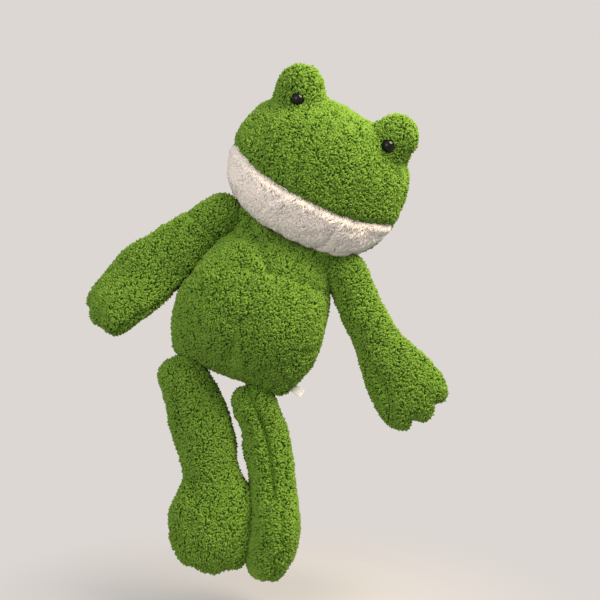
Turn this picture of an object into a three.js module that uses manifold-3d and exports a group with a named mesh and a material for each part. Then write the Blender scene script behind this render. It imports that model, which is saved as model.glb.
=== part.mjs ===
// A stuffed frog: plush skins sewn from panels, a soft filling in each, and bead eyes held by washers.
// Millimetres, +Z up, the front faces -Y. Left and right are the frog's own, so its left is on +X.
// The toy leans as it hangs, and the origin is the middle of the flat patch on its back.
import * as THREE from 'three';
import { mergeVertices } from 'three/addons/utils/BufferGeometryUtils.js';
import Module from 'manifold-3d';

const wasm = await Module();
wasm.setup();

const degrees = Math.PI / 180;
const upright = new THREE.Vector3(0, 0, 1);

// Fabric, filling and clearances
const plushThickness = 3.0;
const seamGap = 0.3;
const fillingGap = 0.3;
const jointClearance = 1.0;
const cutOverrun = 10.0;

// Torso: a pear whose foot is drawn in to a straight seam
const torsoHeight = 116.0;
const torsoWidth = 101.5;
const torsoDepth = 77.0;
const torsoLean = 21.5 * degrees;
const torsoBend = 4.4 * degrees;
// height, width and depth, each a share of the torso's own
const torsoShares = [
  [0, 0.76, 0], [0.02, 0.81, 0.24], [0.07, 0.865, 0.5], [0.16, 0.94, 0.78], [0.27, 0.99, 0.95],
  [0.38, 1, 1], [0.48, 0.97, 0.99], [0.58, 0.905, 0.94], [0.69, 0.815, 0.83], [0.8, 0.735, 0.68],
  [0.9, 0.69, 0.53], [0.97, 0.57, 0.37], [1, 0, 0],
];
const restPatchDepth = 1.2;
const restPatchShare = 0.44;

// Head: a wide bun, fuller below its middle than above, sitting in the torso's top
const headWidth = 123.5;
const headDepth = 84.0;
const headAbove = 46.5;
const headBelow = 50.5;
const headSeatDepth = 13.0;
const crownFullness = 2.25;
const jawFullness = 2.35;
const headTurnClearance = 0.8;
const sideSeamBack = 2.0;
const mouthCornerDrop = 7.5;
const mouthMiddleDrop = 23.5;
const mouthFlatness = 2.8;

// Eye mounds, on the crown
const moundWidth = 30.0;
const moundDepth = 28.0;
const moundHeight = 30.0;
const moundInward = 25.25;
const moundSink = 3.2;
const moundSetback = 24.0;
const moundSpread = headWidth / 2 - moundInward;
const moundRise = headAbove - moundSink;
const moundForward = headDepth / 2 - moundSetback;

// Bead eyes with their shanks and washers
const beadDiameter = 9.0;
const beadHeight = 5.5;
const beadRim = 1.0;
const beadInward = 2.5;
const beadDrop = 9.0;
const beadTiltShare = 0.8;
const beadSeatDepth = 0.6;
const shankDiameter = 3.0;
const shankTail = 2.5;
const washerDiameter = 7.0;
const washerThickness = 1.2;
const snapGap = 0.3;
// Depths under the plush's face, at an eye
const beadBack = beadSeatDepth - snapGap;
const washerTop = beadSeatDepth + plushThickness + snapGap;
const washerFoot = washerTop + washerThickness;
const pocketFoot = washerFoot + shankTail + snapGap;

// Arms, and how each lies
const armLength = 115.0;
const armRootRadius = 13.0;
const armSeatDepth = 1.2;
const wristWidth = 27.5;
const wristThickness = 25.0;
const handWidth = 50.0;
const handThickness = 24.0;
const handReach = 19.0;
const fingerNotch = 5.5;
const shoulderShare = 0.81;
const leftArmLean = 44 * degrees;
const leftArmBend = 21 * degrees;
const leftArmTwist = 0 * degrees;
const rightArmLean = -30 * degrees;
const rightArmBend = 13 * degrees;
const rightArmTwist = 45 * degrees;

// Legs, and how each lies
const legLength = 133.5;
const legRootRadius = 16.0;
const legSeatDepth = 1.0;
const ankleWidth = 40.0;
const ankleThickness = 30.0;
const footWidth = 59.0;
const footThickness = 31.0;
const footReach = 29.0;
const toeNotch = 2.0;
const footForward = 8.0;
const hipSpread = 26.8;
const footClearance = 6.5;
const rightLegLean = 45.5 * degrees;
const rightLegBend = -32 * degrees;
const rightLegTwist = 0 * degrees;
const leftLegBend = -34 * degrees;
const leftLegTwist = 75 * degrees;
const twistTakeUp = 0.06;

// Care label, caught in the seam near the torso's foot on the frog's left
const labelLength = 10.5;
const labelWidth = 6.0;
const labelThickness = 0.5;
const labelCaught = 2.3;
const labelGap = 0.3;
const labelShare = 0.072;
const labelDroop = 14 * degrees;

// Directions round a section: even, or close together where a paddle's tips and notches lie
const evenAngles = (count) => Array.from({ length: count }, (_, i) => (i * 2 * Math.PI) / count);
const mirrorAngles = (quarter) => {
  const half = [...quarter, 90, ...quarter.slice(1).map((a) => 180 - a).reverse()];
  return [...half, ...half.map((a) => a + 180)].map((a) => a * degrees);
};
const notchAngle = 68;
const notchShare = Math.cos(notchAngle * degrees);
const paddleAngles = mirrorAngles([0, 18, 35, 48, notchAngle]);
const innerPaddleAngles = mirrorAngles([0, 35, notchAngle]);
const torsoAngles = evenAngles(24);
const innerTorsoAngles = evenAngles(16);
const headAngles = evenAngles(28);
const innerHeadAngles = evenAngles(18);
const headSteps = 12;
const innerHeadSteps = 8;

// Where each form's inside and its filling begin, measured in from the plush's outer face
const lining = plushThickness;
const core = plushThickness + fillingGap;

const smoothStep = (t) => {
  const u = Math.min(Math.max(t, 0), 1);
  return u * u * (3 - 2 * u);
};

// A value between the rows of a table of shares, at a share of its first column
function readShares(table, share, column) {
  const last = table.length - 1;
  const i = Math.min(Math.max(table.findIndex((row) => row[0] >= share), 1), last);
  const [low, high] = [table[i - 1], table[i]];
  return low[column] + ((high[column] - low[column]) * (share - low[0])) / (high[0] - low[0]);
}

// A closed form from rings of [x, y, z] points. The end rings are drawn in to a point or to an edge.
function joinRings(rings) {
  const around = rings[0].length;
  const index = [];
  for (let r = 0; r < rings.length - 1; r += 1) {
    for (let i = 0; i < around; i += 1) {
      const a = r * around + i;
      const b = r * around + ((i + 1) % around);
      index.push(a, b, b + around, a, b + around, a + around);
    }
  }
  const loose = new THREE.BufferGeometry();
  loose.setAttribute('position', new THREE.Float32BufferAttribute(rings.flat(2), 3));
  loose.setIndex(index);
  return loose;
}

// A closed mesh as a solid, and a solid as a mesh
function solidOf(geometry) {
  const bare = geometry.clone();
  bare.deleteAttribute('normal');
  bare.deleteAttribute('uv');
  const merged = mergeVertices(bare, 1e-4);
  const found = merged.index.array;
  const kept = [];
  for (let i = 0; i < found.length; i += 3) {
    const [a, b, c] = [found[i], found[i + 1], found[i + 2]];
    if (a !== b && b !== c && c !== a) kept.push(a, b, c);
  }
  const mesh = new wasm.Mesh({
    numProp: 3,
    vertProperties: new Float32Array(merged.attributes.position.array),
    triVerts: new Uint32Array(kept),
  });
  return new wasm.Manifold(mesh);
}

// A cut can leave a crumb of no volume beside the piece, so the largest body is the one kept
function geometryOf(solid) {
  const piece = solid.decompose().reduce((a, b) => (a.volume() > b.volume() ? a : b));
  const mesh = piece.simplify(0.02).getMesh();
  const geometry = new THREE.BufferGeometry();
  geometry.setAttribute('position', new THREE.Float32BufferAttribute(mesh.vertProperties, 3));
  geometry.setIndex(Array.from(mesh.triVerts));
  geometry.computeVertexNormals();
  return geometry;
}

// Moves every corner of a mesh by a function of its place
function reshaped(geometry, move) {
  const place = geometry.attributes.position;
  const v = new THREE.Vector3();
  for (let i = 0; i < place.count; i += 1) {
    v.fromBufferAttribute(place, i);
    move(v);
    place.setXYZ(i, v.x, v.y, v.z);
  }
  geometry.computeVertexNormals();
  return geometry;
}

// Bends what stands along +Z (or hangs along -Z) from the origin sideways, along an arc
function bendAt(reach, turnPerLength) {
  const turn = reach * turnPerLength;
  if (Math.abs(turn) < 1e-6) return { x: 0, z: reach, turn: 0 };
  return { x: (1 - Math.cos(turn)) / turnPerLength, z: Math.sin(turn) / turnPerLength, turn };
}

function bendForm(v, turnPerLength) {
  if (v.z <= 0) return;
  const at = bendAt(v.z, turnPerLength);
  const side = v.x;
  v.set(at.x + side * Math.cos(at.turn), v.y, at.z - side * Math.sin(at.turn));
}

// A box used as a cutting block, from its lowest and highest corners
function block(low, high) {
  const size = high.clone().sub(low);
  const geometry = new THREE.BoxGeometry(size.x, size.y, size.z);
  const middle = low.clone().add(high).multiplyScalar(0.5);
  return solidOf(geometry.translate(middle.x, middle.y, middle.z));
}

// A skin cut at its seam plane into a front panel and a back panel
function panelsOf(skin, seamY, reach) {
  const front = block(new THREE.Vector3(-reach, -reach, -reach), new THREE.Vector3(reach, seamY - seamGap / 2, reach));
  const back = block(new THREE.Vector3(-reach, seamY + seamGap / 2, -reach), new THREE.Vector3(reach, reach, reach));
  return { front: skin.intersect(front), back: skin.intersect(back) };
}

// Torso forms

const torsoTurn = torsoBend / torsoHeight;
const torsoHalfWidth = (height) => (readShares(torsoShares, height / torsoHeight, 1) * torsoWidth) / 2;
const torsoHalfDepth = (height) => (readShares(torsoShares, height / torsoHeight, 2) * torsoDepth) / 2;

// The pear, its outer face moved in by inset; the seam at its foot stays an edge
function torsoForm(inset, angles) {
  const rings = torsoShares.map(([share, width, depth], row) => {
    const z = inset + share * (torsoHeight - 2 * inset);
    const pole = row === torsoShares.length - 1;
    const halfWidth = pole ? 0 : Math.max((width * torsoWidth) / 2 - inset, 0);
    const halfDepth = Math.max((depth * torsoDepth) / 2 - inset, 0);
    return angles.map((a) => [halfWidth * Math.cos(a), halfDepth * Math.sin(a), z]);
  });
  return reshaped(joinRings(rings), (v) => bendForm(v, torsoTurn));
}

// Head forms

const headHeightOnAxis = torsoHeight - headSeatDepth + headBelow;
const jawAt = (x) => headBelow * (1 - (Math.abs(x) / (headWidth / 2)) ** jawFullness) ** (1 / jawFullness);
const jawSlopeAt = (x) => {
  const small = Math.abs(x) / 1000;
  return Math.atan2(jawAt(x - small) - jawAt(x + small), 2 * small);
};

// A bun from rings whose width follows one rounded outline above its middle and another below it
function bunForm(inset, halfDepth, angles, steps) {
  const rings = [];
  for (let i = 0; i <= steps; i += 1) {
    const rise = -Math.PI / 2 + (i * Math.PI) / steps;
    const below = rise < 0;
    const power = 2 / (below ? jawFullness : crownFullness);
    const height = (below ? headBelow : headAbove) - inset;
    const pole = i === 0 || i === steps;
    const out = pole ? 0 : Math.cos(rise) ** power;
    const z = Math.sign(rise) * Math.abs(Math.sin(rise)) ** power * height;
    rings.push(angles.map((a) => [
      (headWidth / 2 - inset) * out * Math.cos(a),
      (halfDepth - inset) * out * Math.sin(a),
      z,
    ]));
  }
  return joinRings(rings);
}

const headForm = (inset, angles, steps) => bunForm(inset, headDepth / 2, angles, steps);
// All the space that the head sweeps as it turns
const headSweep = (grown) => bunForm(-grown, headWidth / 2, headAngles, headSteps);

// What lies below the mouth seam: an arch that drops to the middle, run through the head front to back
function belowMouth(lowered) {
  const half = headWidth / 2 + cutOverrun;
  const steps = 10;
  const outline = new THREE.Shape();
  outline.moveTo(-half, -headBelow - cutOverrun);
  outline.lineTo(half, -headBelow - cutOverrun);
  for (let i = steps; i >= 0; i -= 1) {
    const x = ((2 * i) / steps - 1) * half;
    const across = Math.abs(x) / (headWidth / 2);
    const drop = mouthMiddleDrop + (mouthCornerDrop - mouthMiddleDrop) * across ** mouthFlatness;
    outline.lineTo(x, -drop - lowered);
  }
  const length = headDepth + 2 * cutOverrun;
  const arch = new THREE.ExtrudeGeometry(outline, { depth: length, bevelEnabled: false, steps: 1 });
  return solidOf(arch.translate(0, 0, -length / 2).rotateX(Math.PI / 2));
}

// An eye mound, flattened front to back
function moundForm(side, inset) {
  const steps = inset > 0 ? { around: 10, up: 6 } : { around: 16, up: 10 };
  const round = new THREE.SphereGeometry(1, steps.around, steps.up).rotateX(Math.PI / 2);
  round.scale(moundWidth / 2 - inset, moundDepth / 2 - inset, moundHeight / 2 - inset);
  return round.translate(side * moundSpread, -moundForward, moundRise);
}

// Limb forms: a ball at the root, a tube that swells and tapers, and a paddle with a notched edge

const arm = {
  length: armLength,
  rootRadius: armRootRadius,
  neckWidth: wristWidth,
  neckThickness: wristThickness,
  endWidth: handWidth,
  endThickness: handThickness,
  reach: handReach,
  notch: fingerNotch,
  edgePower: 4,
  neckShare: 0.28,
  swellShare: 0.32,
  palmShare: 0.84,
  twistShares: [0.35, 0.85],
  forward: 0,
};
// The right arm's filling sits further up, so it is widest sooner
const rightArm = { ...arm, swellShare: 0.12, palmShare: 0.75 };
const leg = {
  length: legLength,
  rootRadius: legRootRadius,
  neckWidth: ankleWidth,
  neckThickness: ankleThickness,
  endWidth: footWidth,
  endThickness: footThickness,
  reach: footReach,
  notch: toeNotch,
  edgePower: 3.2,
  neckShare: 0.26,
  swellShare: 0.42,
  palmShare: 0.72,
  twistShares: [0, 0.6],
  forward: footForward,
};
// A leg that is twisted as it hangs is drawn up by the twist
const leftLeg = { ...leg, length: leg.length * (1 - twistTakeUp) };
const rootAngles = [-90, -62, -38, -18];
const endAngles = [0, 32, 62, 90];
const tubeShares = [0.02, 0.15, 0.3, 0.45, 0.58, 0.7, 0.85];
const innerRootAngles = [-90, -50, -18];
const innerEndAngles = [0, 48, 90];
const innerTubeShares = [0.02, 0.24, 0.5, 0.74];

// A size that goes from the root's to the neck's and on to the paddle's, along the limb
function limbSize(limb, reach, root, neck, end) {
  const share = reach / limb.length;
  const toNeck = root + (neck - root) * smoothStep(share / limb.neckShare);
  return toNeck + (end - neck) * smoothStep((share - limb.swellShare) / (limb.palmShare - limb.swellShare));
}

// The limb stands along +Z from its root ball's centre, its side seams on the plane y = 0
function limbForm(limb, inset, fine) {
  const angles = fine ? paddleAngles : innerPaddleAngles;
  const palm = limb.length - limb.reach;
  const ring = (halfWidth, halfThickness, z) => angles.map((a) => [
    (halfWidth - inset) * Math.cos(a),
    (halfThickness - inset) * Math.sin(a),
    z,
  ]);
  const rings = (fine ? rootAngles : innerRootAngles).map((a) => {
    const radius = limb.rootRadius - inset;
    const out = a === -90 ? 0 : Math.cos(a * degrees) * radius;
    return angles.map((b) => [out * Math.cos(b), out * Math.sin(b), Math.sin(a * degrees) * radius]);
  });
  const halfWidthAt = (z) => limbSize(limb, z, limb.rootRadius, limb.neckWidth / 2, limb.endWidth / 2);
  const halfThicknessAt = (z) => (
    limbSize(limb, z, limb.rootRadius, limb.neckThickness / 2, limb.endThickness / 2)
  );
  (fine ? tubeShares : innerTubeShares).forEach((share) => {
    rings.push(ring(halfWidthAt(share * palm), halfThicknessAt(share * palm), share * palm));
  });
  const endHalfWidth = halfWidthAt(palm) - inset;
  const endHalfThickness = halfThicknessAt(palm) - inset;
  (fine ? endAngles : innerEndAngles).forEach((turn) => {
    const flat = turn === 90 ? 0 : Math.cos(turn * degrees);
    rings.push(angles.map((a) => {
      const across = Math.abs(Math.cos(a));
      const round = Math.max(1 - across ** limb.edgePower, 0) ** 0.5;
      const dip = Math.max(1 - Math.abs(across - notchShare) / (notchShare * 0.7), 0);
      const reach = Math.max((limb.reach - inset) * round - limb.notch * dip, 0);
      return [
        endHalfWidth * Math.cos(a),
        endHalfThickness * flat * Math.sin(a),
        palm + reach * Math.sin(turn * degrees),
      ];
    }));
  });
  return joinRings(rings);
}

// Gives a straight limb its forward foot, its twist and its bend, and hangs it down from its root
function poseLimb(geometry, limb, twist, bend) {
  const [twistFrom, twistTo] = limb.twistShares;
  return reshaped(geometry, (v) => {
    const share = v.z / limb.length;
    const past = Math.max(share - limb.swellShare, 0) / (1 - limb.swellShare);
    v.y -= limb.forward * past ** 2;
    v.applyAxisAngle(upright, twist * smoothStep((share - twistFrom) / (twistTo - twistFrom)));
    bendForm(v, -bend / limb.length);
    v.set(-v.x, v.y, -v.z);
  });
}

// Where things stand on the torso, each a place in its middle plane and a turn about Y

const headPlace = bendAt(headHeightOnAxis, torsoTurn);
const shoulderSpread = torsoHalfWidth(shoulderShare * torsoHeight) + armRootRadius - armSeatDepth;
const shoulderDrop = (armRootRadius + headTurnClearance) / Math.cos(jawSlopeAt(shoulderSpread));
const shoulderPlace = bendAt(headHeightOnAxis - jawAt(shoulderSpread) - shoulderDrop, torsoTurn);
const shoulderAt = (side) => ({
  x: shoulderPlace.x + side * shoulderSpread * Math.cos(shoulderPlace.turn),
  z: shoulderPlace.z - side * shoulderSpread * Math.sin(shoulderPlace.turn),
  turn: shoulderPlace.turn,
});
const hipAt = (side) => ({ x: side * hipSpread, z: legSeatDepth - legRootRadius, turn: 0 });

const standAt = (geometry, place) => geometry.rotateY(place.turn).translate(place.x, 0, place.z);

// How far each foot reaches sideways as seen from the front, and the lean that keeps the feet apart
const halfReach = (twist) => Math.hypot(
  (footWidth / 2) * Math.cos(twist),
  (footThickness / 2) * Math.sin(twist),
);
const rightChordLean = rightLegLean + rightLegBend / 2;
const feetApart = halfReach(rightLegTwist) + halfReach(leftLegTwist) + footClearance;
const footAlong = legLength - footReach;
const leftLegLean = Math.asin(
  Math.sin(rightChordLean) + (feetApart - 2 * hipSpread) / footAlong,
) - leftLegBend / 2;

// Materials

const finish = (color, roughness, metalness = 0) => new THREE.MeshStandardMaterial({ color, roughness, metalness });
const greenPlush = () => finish(0x4f8f22, 0.95);
const whitePlush = () => finish(0xe6dfd5, 0.95);
const blackBead = () => finish(0x08080a, 0.12);
const stuffing = () => finish(0xf3f1ec, 1);
const whitePlastic = () => finish(0xe9e9e6, 0.5);
const ribbon = () => finish(0xf2f2f0, 0.7);

const named = (name, geometry, material) => {
  const mesh = new THREE.Mesh(geometry, material);
  mesh.name = name;
  return mesh;
};

// Torso

const cutReach = torsoHeight + torsoWidth;

// What the torso gives way to: the turning head, the four limb roots, and whatever it rests on
function torsoCuts(inset) {
  const sweep = solidOf(standAt(headSweep(headTurnClearance + inset), headPlace));
  const balls = [-1, 1].flatMap((side) => [
    [armRootRadius, shoulderAt(side)],
    [legRootRadius, hipAt(side)],
  ]).map(([radius, place]) => {
    const ball = new THREE.SphereGeometry(radius + jointClearance + inset, 16, 10);
    return solidOf(standAt(ball, place));
  });
  const patchY = torsoDepth / 2 - restPatchDepth - inset;
  const behind = block(
    new THREE.Vector3(-cutReach, patchY, -cutReach),
    new THREE.Vector3(cutReach, patchY + cutReach, cutReach),
  );
  return [sweep, ...balls, behind];
}

const without = (solid, cuts) => cuts.reduce((left, cut) => left.subtract(cut), solid);

// The seam point that the care label is caught at, and its slot
const labelHeight = labelShare * torsoHeight;
const labelPlace = { x: torsoHalfWidth(labelHeight), z: labelHeight, turn: labelDroop };
const labelForm = (grown) => {
  const length = labelLength + labelCaught + 2 * grown;
  const flat = new THREE.BoxGeometry(length, labelThickness + 2 * grown, labelWidth + 2 * grown);
  return standAt(flat.translate((labelLength - labelCaught) / 2, 0, 0), labelPlace);
};

function makeTorso() {
  const outer = without(solidOf(torsoForm(0, torsoAngles)), torsoCuts(0));
  const inner = without(solidOf(torsoForm(lining, innerTorsoAngles)), torsoCuts(lining));
  const filling = without(solidOf(torsoForm(core, innerTorsoAngles)), torsoCuts(core));
  const skin = outer.subtract(inner).subtract(solidOf(labelForm(labelGap)));
  const { front, back } = panelsOf(skin, 0, cutReach);
  return [
    named('torso_front', geometryOf(front), greenPlush()),
    named('torso_back', geometryOf(back), greenPlush()),
    named('torso_filling', geometryOf(filling), stuffing()),
    named('care_label', labelForm(0), ribbon()),
  ];
}

// Head

// A bead with its shank along local +Z, from the plush's face at z = 0, or the room round it
function beadForm(grown) {
  const radius = beadDiameter / 2 + grown;
  const shank = shankDiameter / 2 + grown;
  const tail = washerFoot + shankTail - beadBack + grown;
  const dome = Array.from({ length: 6 }, (_, i) => {
    const turn = (i * Math.PI) / 10;
    const rise = beadHeight - beadRim + grown;
    return new THREE.Vector2(radius * Math.cos(turn), beadRim + rise * Math.sin(turn));
  });
  dome[dome.length - 1].setX(0);
  const profile = [
    new THREE.Vector2(0, -tail),
    new THREE.Vector2(shank, -tail),
    new THREE.Vector2(shank, -grown),
    new THREE.Vector2(radius, -grown),
    ...dome,
  ];
  return new THREE.LatheGeometry(profile, 16).rotateX(Math.PI / 2).translate(0, 0, -beadBack);
}

function washerForm() {
  const hole = shankDiameter / 2 + snapGap;
  const rim = washerDiameter / 2;
  const half = washerThickness / 2;
  const profile = [[hole, -half], [rim, -half], [rim, half], [hole, half], [hole, -half]];
  return new THREE.LatheGeometry(profile.map(([x, y]) => new THREE.Vector2(x, y)), 12).rotateX(Math.PI / 2);
}

// A round cutter along local Z between two depths under the plush's face
function roundCut(radius, deep, shallow) {
  const cylinder = new THREE.CylinderGeometry(radius, radius, deep - shallow, 16).rotateX(Math.PI / 2);
  return cylinder.translate(0, 0, -(deep + shallow) / 2);
}

// The turn and the place that bring a form from the plush's face at z = 0 to an eye's spot on its mound
function eyeFrame(side) {
  const radii = new THREE.Vector3(moundWidth / 2, moundDepth / 2, moundHeight / 2);
  const spot = new THREE.Vector3((-side * beadInward) / radii.x, 0, -beadDrop / radii.z);
  spot.y = -Math.sqrt(1 - spot.x ** 2 - spot.z ** 2);
  const facing = spot.clone().divide(radii).multiply(new THREE.Vector3(1, 1, beadTiltShare)).normalize();
  const face = spot.multiply(radii).add(new THREE.Vector3(side * moundSpread, -moundForward, moundRise));
  return new THREE.Matrix4().makeRotationFromQuaternion(
    new THREE.Quaternion().setFromUnitVectors(upright, facing),
  ).setPosition(face);
}

// What the head's face gives way to at an eye, where the eye comes near it: the bead and the washer
function eyeRoom(side) {
  const washer = roundCut(washerDiameter / 2 + snapGap, washerFoot + snapGap, washerTop - snapGap);
  return [beadForm(snapGap), washer].map((form) => solidOf(form.applyMatrix4(eyeFrame(side))));
}

function makeEyeMound(side, name, headOutside) {
  const frame = eyeFrame(side);
  const there = (geometry) => geometry.applyMatrix4(frame);
  const seat = solidOf(there(roundCut(beadDiameter / 2 + snapGap, beadSeatDepth, -cutOverrun)));
  const shaft = solidOf(there(roundCut(shankDiameter / 2 + snapGap, pocketFoot, -cutOverrun)));
  const pocket = (deep, shallow) => (
    solidOf(there(roundCut(washerDiameter / 2 + snapGap, deep, shallow)))
  );

  const form = (inset) => solidOf(moundForm(side, inset));
  const snapped = [seat, shaft, pocket(pocketFoot, washerTop - snapGap)];
  const skin = without(form(0), [form(lining), headOutside, ...snapped]);
  const filling = without(form(core), [headOutside, shaft, pocket(washerFoot + snapGap, -cutOverrun)]);
  const { front, back } = panelsOf(skin, -moundForward, headWidth);
  const washer = washerForm().translate(0, 0, -(washerTop + washerFoot) / 2);
  return [
    named(`${name}_mound_front`, geometryOf(front), greenPlush()),
    named(`${name}_mound_back`, geometryOf(back), greenPlush()),
    named(`${name}_mound_filling`, geometryOf(filling), stuffing()),
    named(`${name}_eye`, there(beadForm(0)), blackBead()),
    named(`${name}_eye_washer`, there(washer), whitePlastic()),
  ];
}

function makeHead() {
  const outer = solidOf(headForm(0, headAngles, headSteps));
  const inner = solidOf(headForm(lining, innerHeadAngles, innerHeadSteps));
  const { front, back } = panelsOf(outer.subtract(inner), sideSeamBack, headWidth);
  const chin = front.intersect(belowMouth(seamGap / 2));
  const face = without(front, [belowMouth(-seamGap / 2), ...eyeRoom(1), ...eyeRoom(-1)]);
  const filling = headForm(core, innerHeadAngles, innerHeadSteps);
  const headOutside = solidOf(headForm(-seamGap, headAngles, headSteps));
  const group = new THREE.Group();
  group.add(
    named('head_face', geometryOf(face), greenPlush()),
    named('head_back', geometryOf(back), greenPlush()),
    named('chin_panel', geometryOf(chin), whitePlush()),
    named('head_filling', geometryOf(solidOf(filling)), stuffing()),
    ...makeEyeMound(1, 'left', headOutside),
    ...makeEyeMound(-1, 'right', headOutside),
  );
  group.position.set(headPlace.x, 0, headPlace.z);
  group.rotation.y = headPlace.turn;
  return group;
}

// Limbs

function makeLimb(name, limb, place, pose) {
  const skin = solidOf(limbForm(limb, 0, true)).subtract(solidOf(limbForm(limb, lining, false)));
  const { front, back } = panelsOf(skin, 0, 2 * limb.length);
  const filling = solidOf(limbForm(limb, core, false));
  const posed = (solid) => poseLimb(geometryOf(solid), limb, pose.twist, pose.bend);
  const group = new THREE.Group();
  group.add(
    named(`${name}_front`, posed(front), greenPlush()),
    named(`${name}_back`, posed(back), greenPlush()),
    named(`${name}_filling`, posed(filling), stuffing()),
  );
  group.position.set(place.x, 0, place.z);
  group.rotation.y = place.turn - pose.lean;
  return group;
}

const upperBody = new THREE.Group();
upperBody.add(
  ...makeTorso(),
  makeHead(),
  makeLimb('left_arm', arm, shoulderAt(1), { lean: leftArmLean, bend: leftArmBend, twist: leftArmTwist }),
  makeLimb('right_arm', rightArm, shoulderAt(-1), { lean: rightArmLean, bend: rightArmBend, twist: rightArmTwist }),
  makeLimb('left_leg', leftLeg, hipAt(1), { lean: leftLegLean, bend: leftLegBend, twist: leftLegTwist }),
  makeLimb('right_leg', leg, hipAt(-1), { lean: rightLegLean, bend: rightLegBend, twist: rightLegTwist }),
);
upperBody.rotation.y = torsoLean;

// The origin goes to the middle of the flat patch on the back
const patch = bendAt(restPatchShare * torsoHeight, torsoTurn);
const patchMiddle = new THREE.Vector3(patch.x, torsoDepth / 2 - restPatchDepth, patch.z);
upperBody.position.copy(patchMiddle.applyAxisAngle(new THREE.Vector3(0, 1, 0), torsoLean).negate());

const frog = new THREE.Group();
frog.add(upperBody);

export default frog;
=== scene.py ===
# %% [markdown]
# # Dressing a plush frog
#
# The real toy is a soft frog: curly green plush sewn into a body, a head with two eye mounds, and four
# long limbs, with a white chin and two black beads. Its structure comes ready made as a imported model, in
# metres, standing as the toy hangs. This lesson gives each sewn panel its real surface: the cloth and
# the curls that stand on it. Plush could be a hair system or a bumpy material. Here every curl is a
# tiny closed hook of mesh, because curls make the outline fuzzy from every side and survive an export.

import bpy
import numpy as np
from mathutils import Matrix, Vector


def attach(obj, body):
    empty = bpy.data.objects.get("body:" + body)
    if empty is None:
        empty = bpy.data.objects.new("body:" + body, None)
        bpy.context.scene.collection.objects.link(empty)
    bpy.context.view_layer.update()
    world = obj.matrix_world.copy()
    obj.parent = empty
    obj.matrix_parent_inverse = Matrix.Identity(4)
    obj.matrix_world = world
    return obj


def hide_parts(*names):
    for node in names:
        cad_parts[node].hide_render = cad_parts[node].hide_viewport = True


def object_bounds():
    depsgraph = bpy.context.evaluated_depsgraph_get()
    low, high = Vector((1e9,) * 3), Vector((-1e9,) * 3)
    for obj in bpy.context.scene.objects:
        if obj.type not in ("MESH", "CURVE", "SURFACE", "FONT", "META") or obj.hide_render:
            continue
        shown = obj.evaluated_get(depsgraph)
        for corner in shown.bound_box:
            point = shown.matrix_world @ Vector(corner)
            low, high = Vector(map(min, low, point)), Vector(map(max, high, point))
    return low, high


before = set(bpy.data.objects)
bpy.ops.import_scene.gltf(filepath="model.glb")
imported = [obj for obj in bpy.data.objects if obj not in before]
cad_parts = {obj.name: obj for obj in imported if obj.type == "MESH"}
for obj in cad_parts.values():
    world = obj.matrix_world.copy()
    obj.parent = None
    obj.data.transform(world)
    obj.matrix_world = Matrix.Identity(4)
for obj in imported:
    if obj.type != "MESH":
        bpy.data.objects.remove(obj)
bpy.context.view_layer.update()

# %% [markdown]
# ## The toy's sizes
#
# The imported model's sizes are repeated here, in millimetres, because each cloth surface follows the
# same formula as the solid that it stands for. Angles are written in degrees and kept in radians. A
# limb's `slim` is how much its hanging cloth is drawn in, in width and thickness, and `aside` how far
# its foot sags sideways: both are the cloth's alone.

# %% Sizes of the toy
METRES = 0.001
DEGREE = np.pi / 180

TORSO_HEIGHT, TORSO_WIDTH, TORSO_DEPTH = 116.0, 101.5, 77.0
TORSO_LEAN, TORSO_BEND = 21.5 * DEGREE, 4.4 * DEGREE
TORSO_SHARES = np.array([
    [0, 0.76, 0], [0.02, 0.81, 0.24], [0.07, 0.865, 0.5], [0.16, 0.94, 0.78], [0.27, 0.99, 0.95],
    [0.38, 1, 1], [0.48, 0.97, 0.99], [0.58, 0.905, 0.94], [0.69, 0.815, 0.83], [0.8, 0.735, 0.68],
    [0.9, 0.69, 0.53], [0.97, 0.57, 0.37], [1, 0, 0],
])
REST_PATCH_DEPTH, REST_PATCH_SHARE = 1.2, 0.44

HEAD_WIDTH, HEAD_DEPTH, HEAD_ABOVE, HEAD_BELOW = 123.5, 84.0, 46.5, 50.5
HEAD_SEAT, HEAD_CLEARANCE = 13.0, 0.8
CROWN_FULLNESS, JAW_FULLNESS = 2.25, 2.35
MOUTH_CORNER, MOUTH_MIDDLE, MOUTH_FLATNESS = 7.5, 23.5, 2.8

MOUND_RADII = np.array([30.0, 28.0, 30.0]) / 2
MOUND_SPREAD, MOUND_RISE, MOUND_FORWARD = HEAD_WIDTH / 2 - 25.25, HEAD_ABOVE - 3.2, 18.0
BEAD_RADIUS, BEAD_HEIGHT, BEAD_RIM, BEAD_SUNK, BEAD_EDGE = 4.5, 5.5, 0.6, 0.3, 0.25
BEAD_INWARD, BEAD_DROP, BEAD_TILT_SHARE = 2.5, 9.0, 0.8
SHANK_RADIUS, SHANK_LENGTH = 1.5, 7.3

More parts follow.
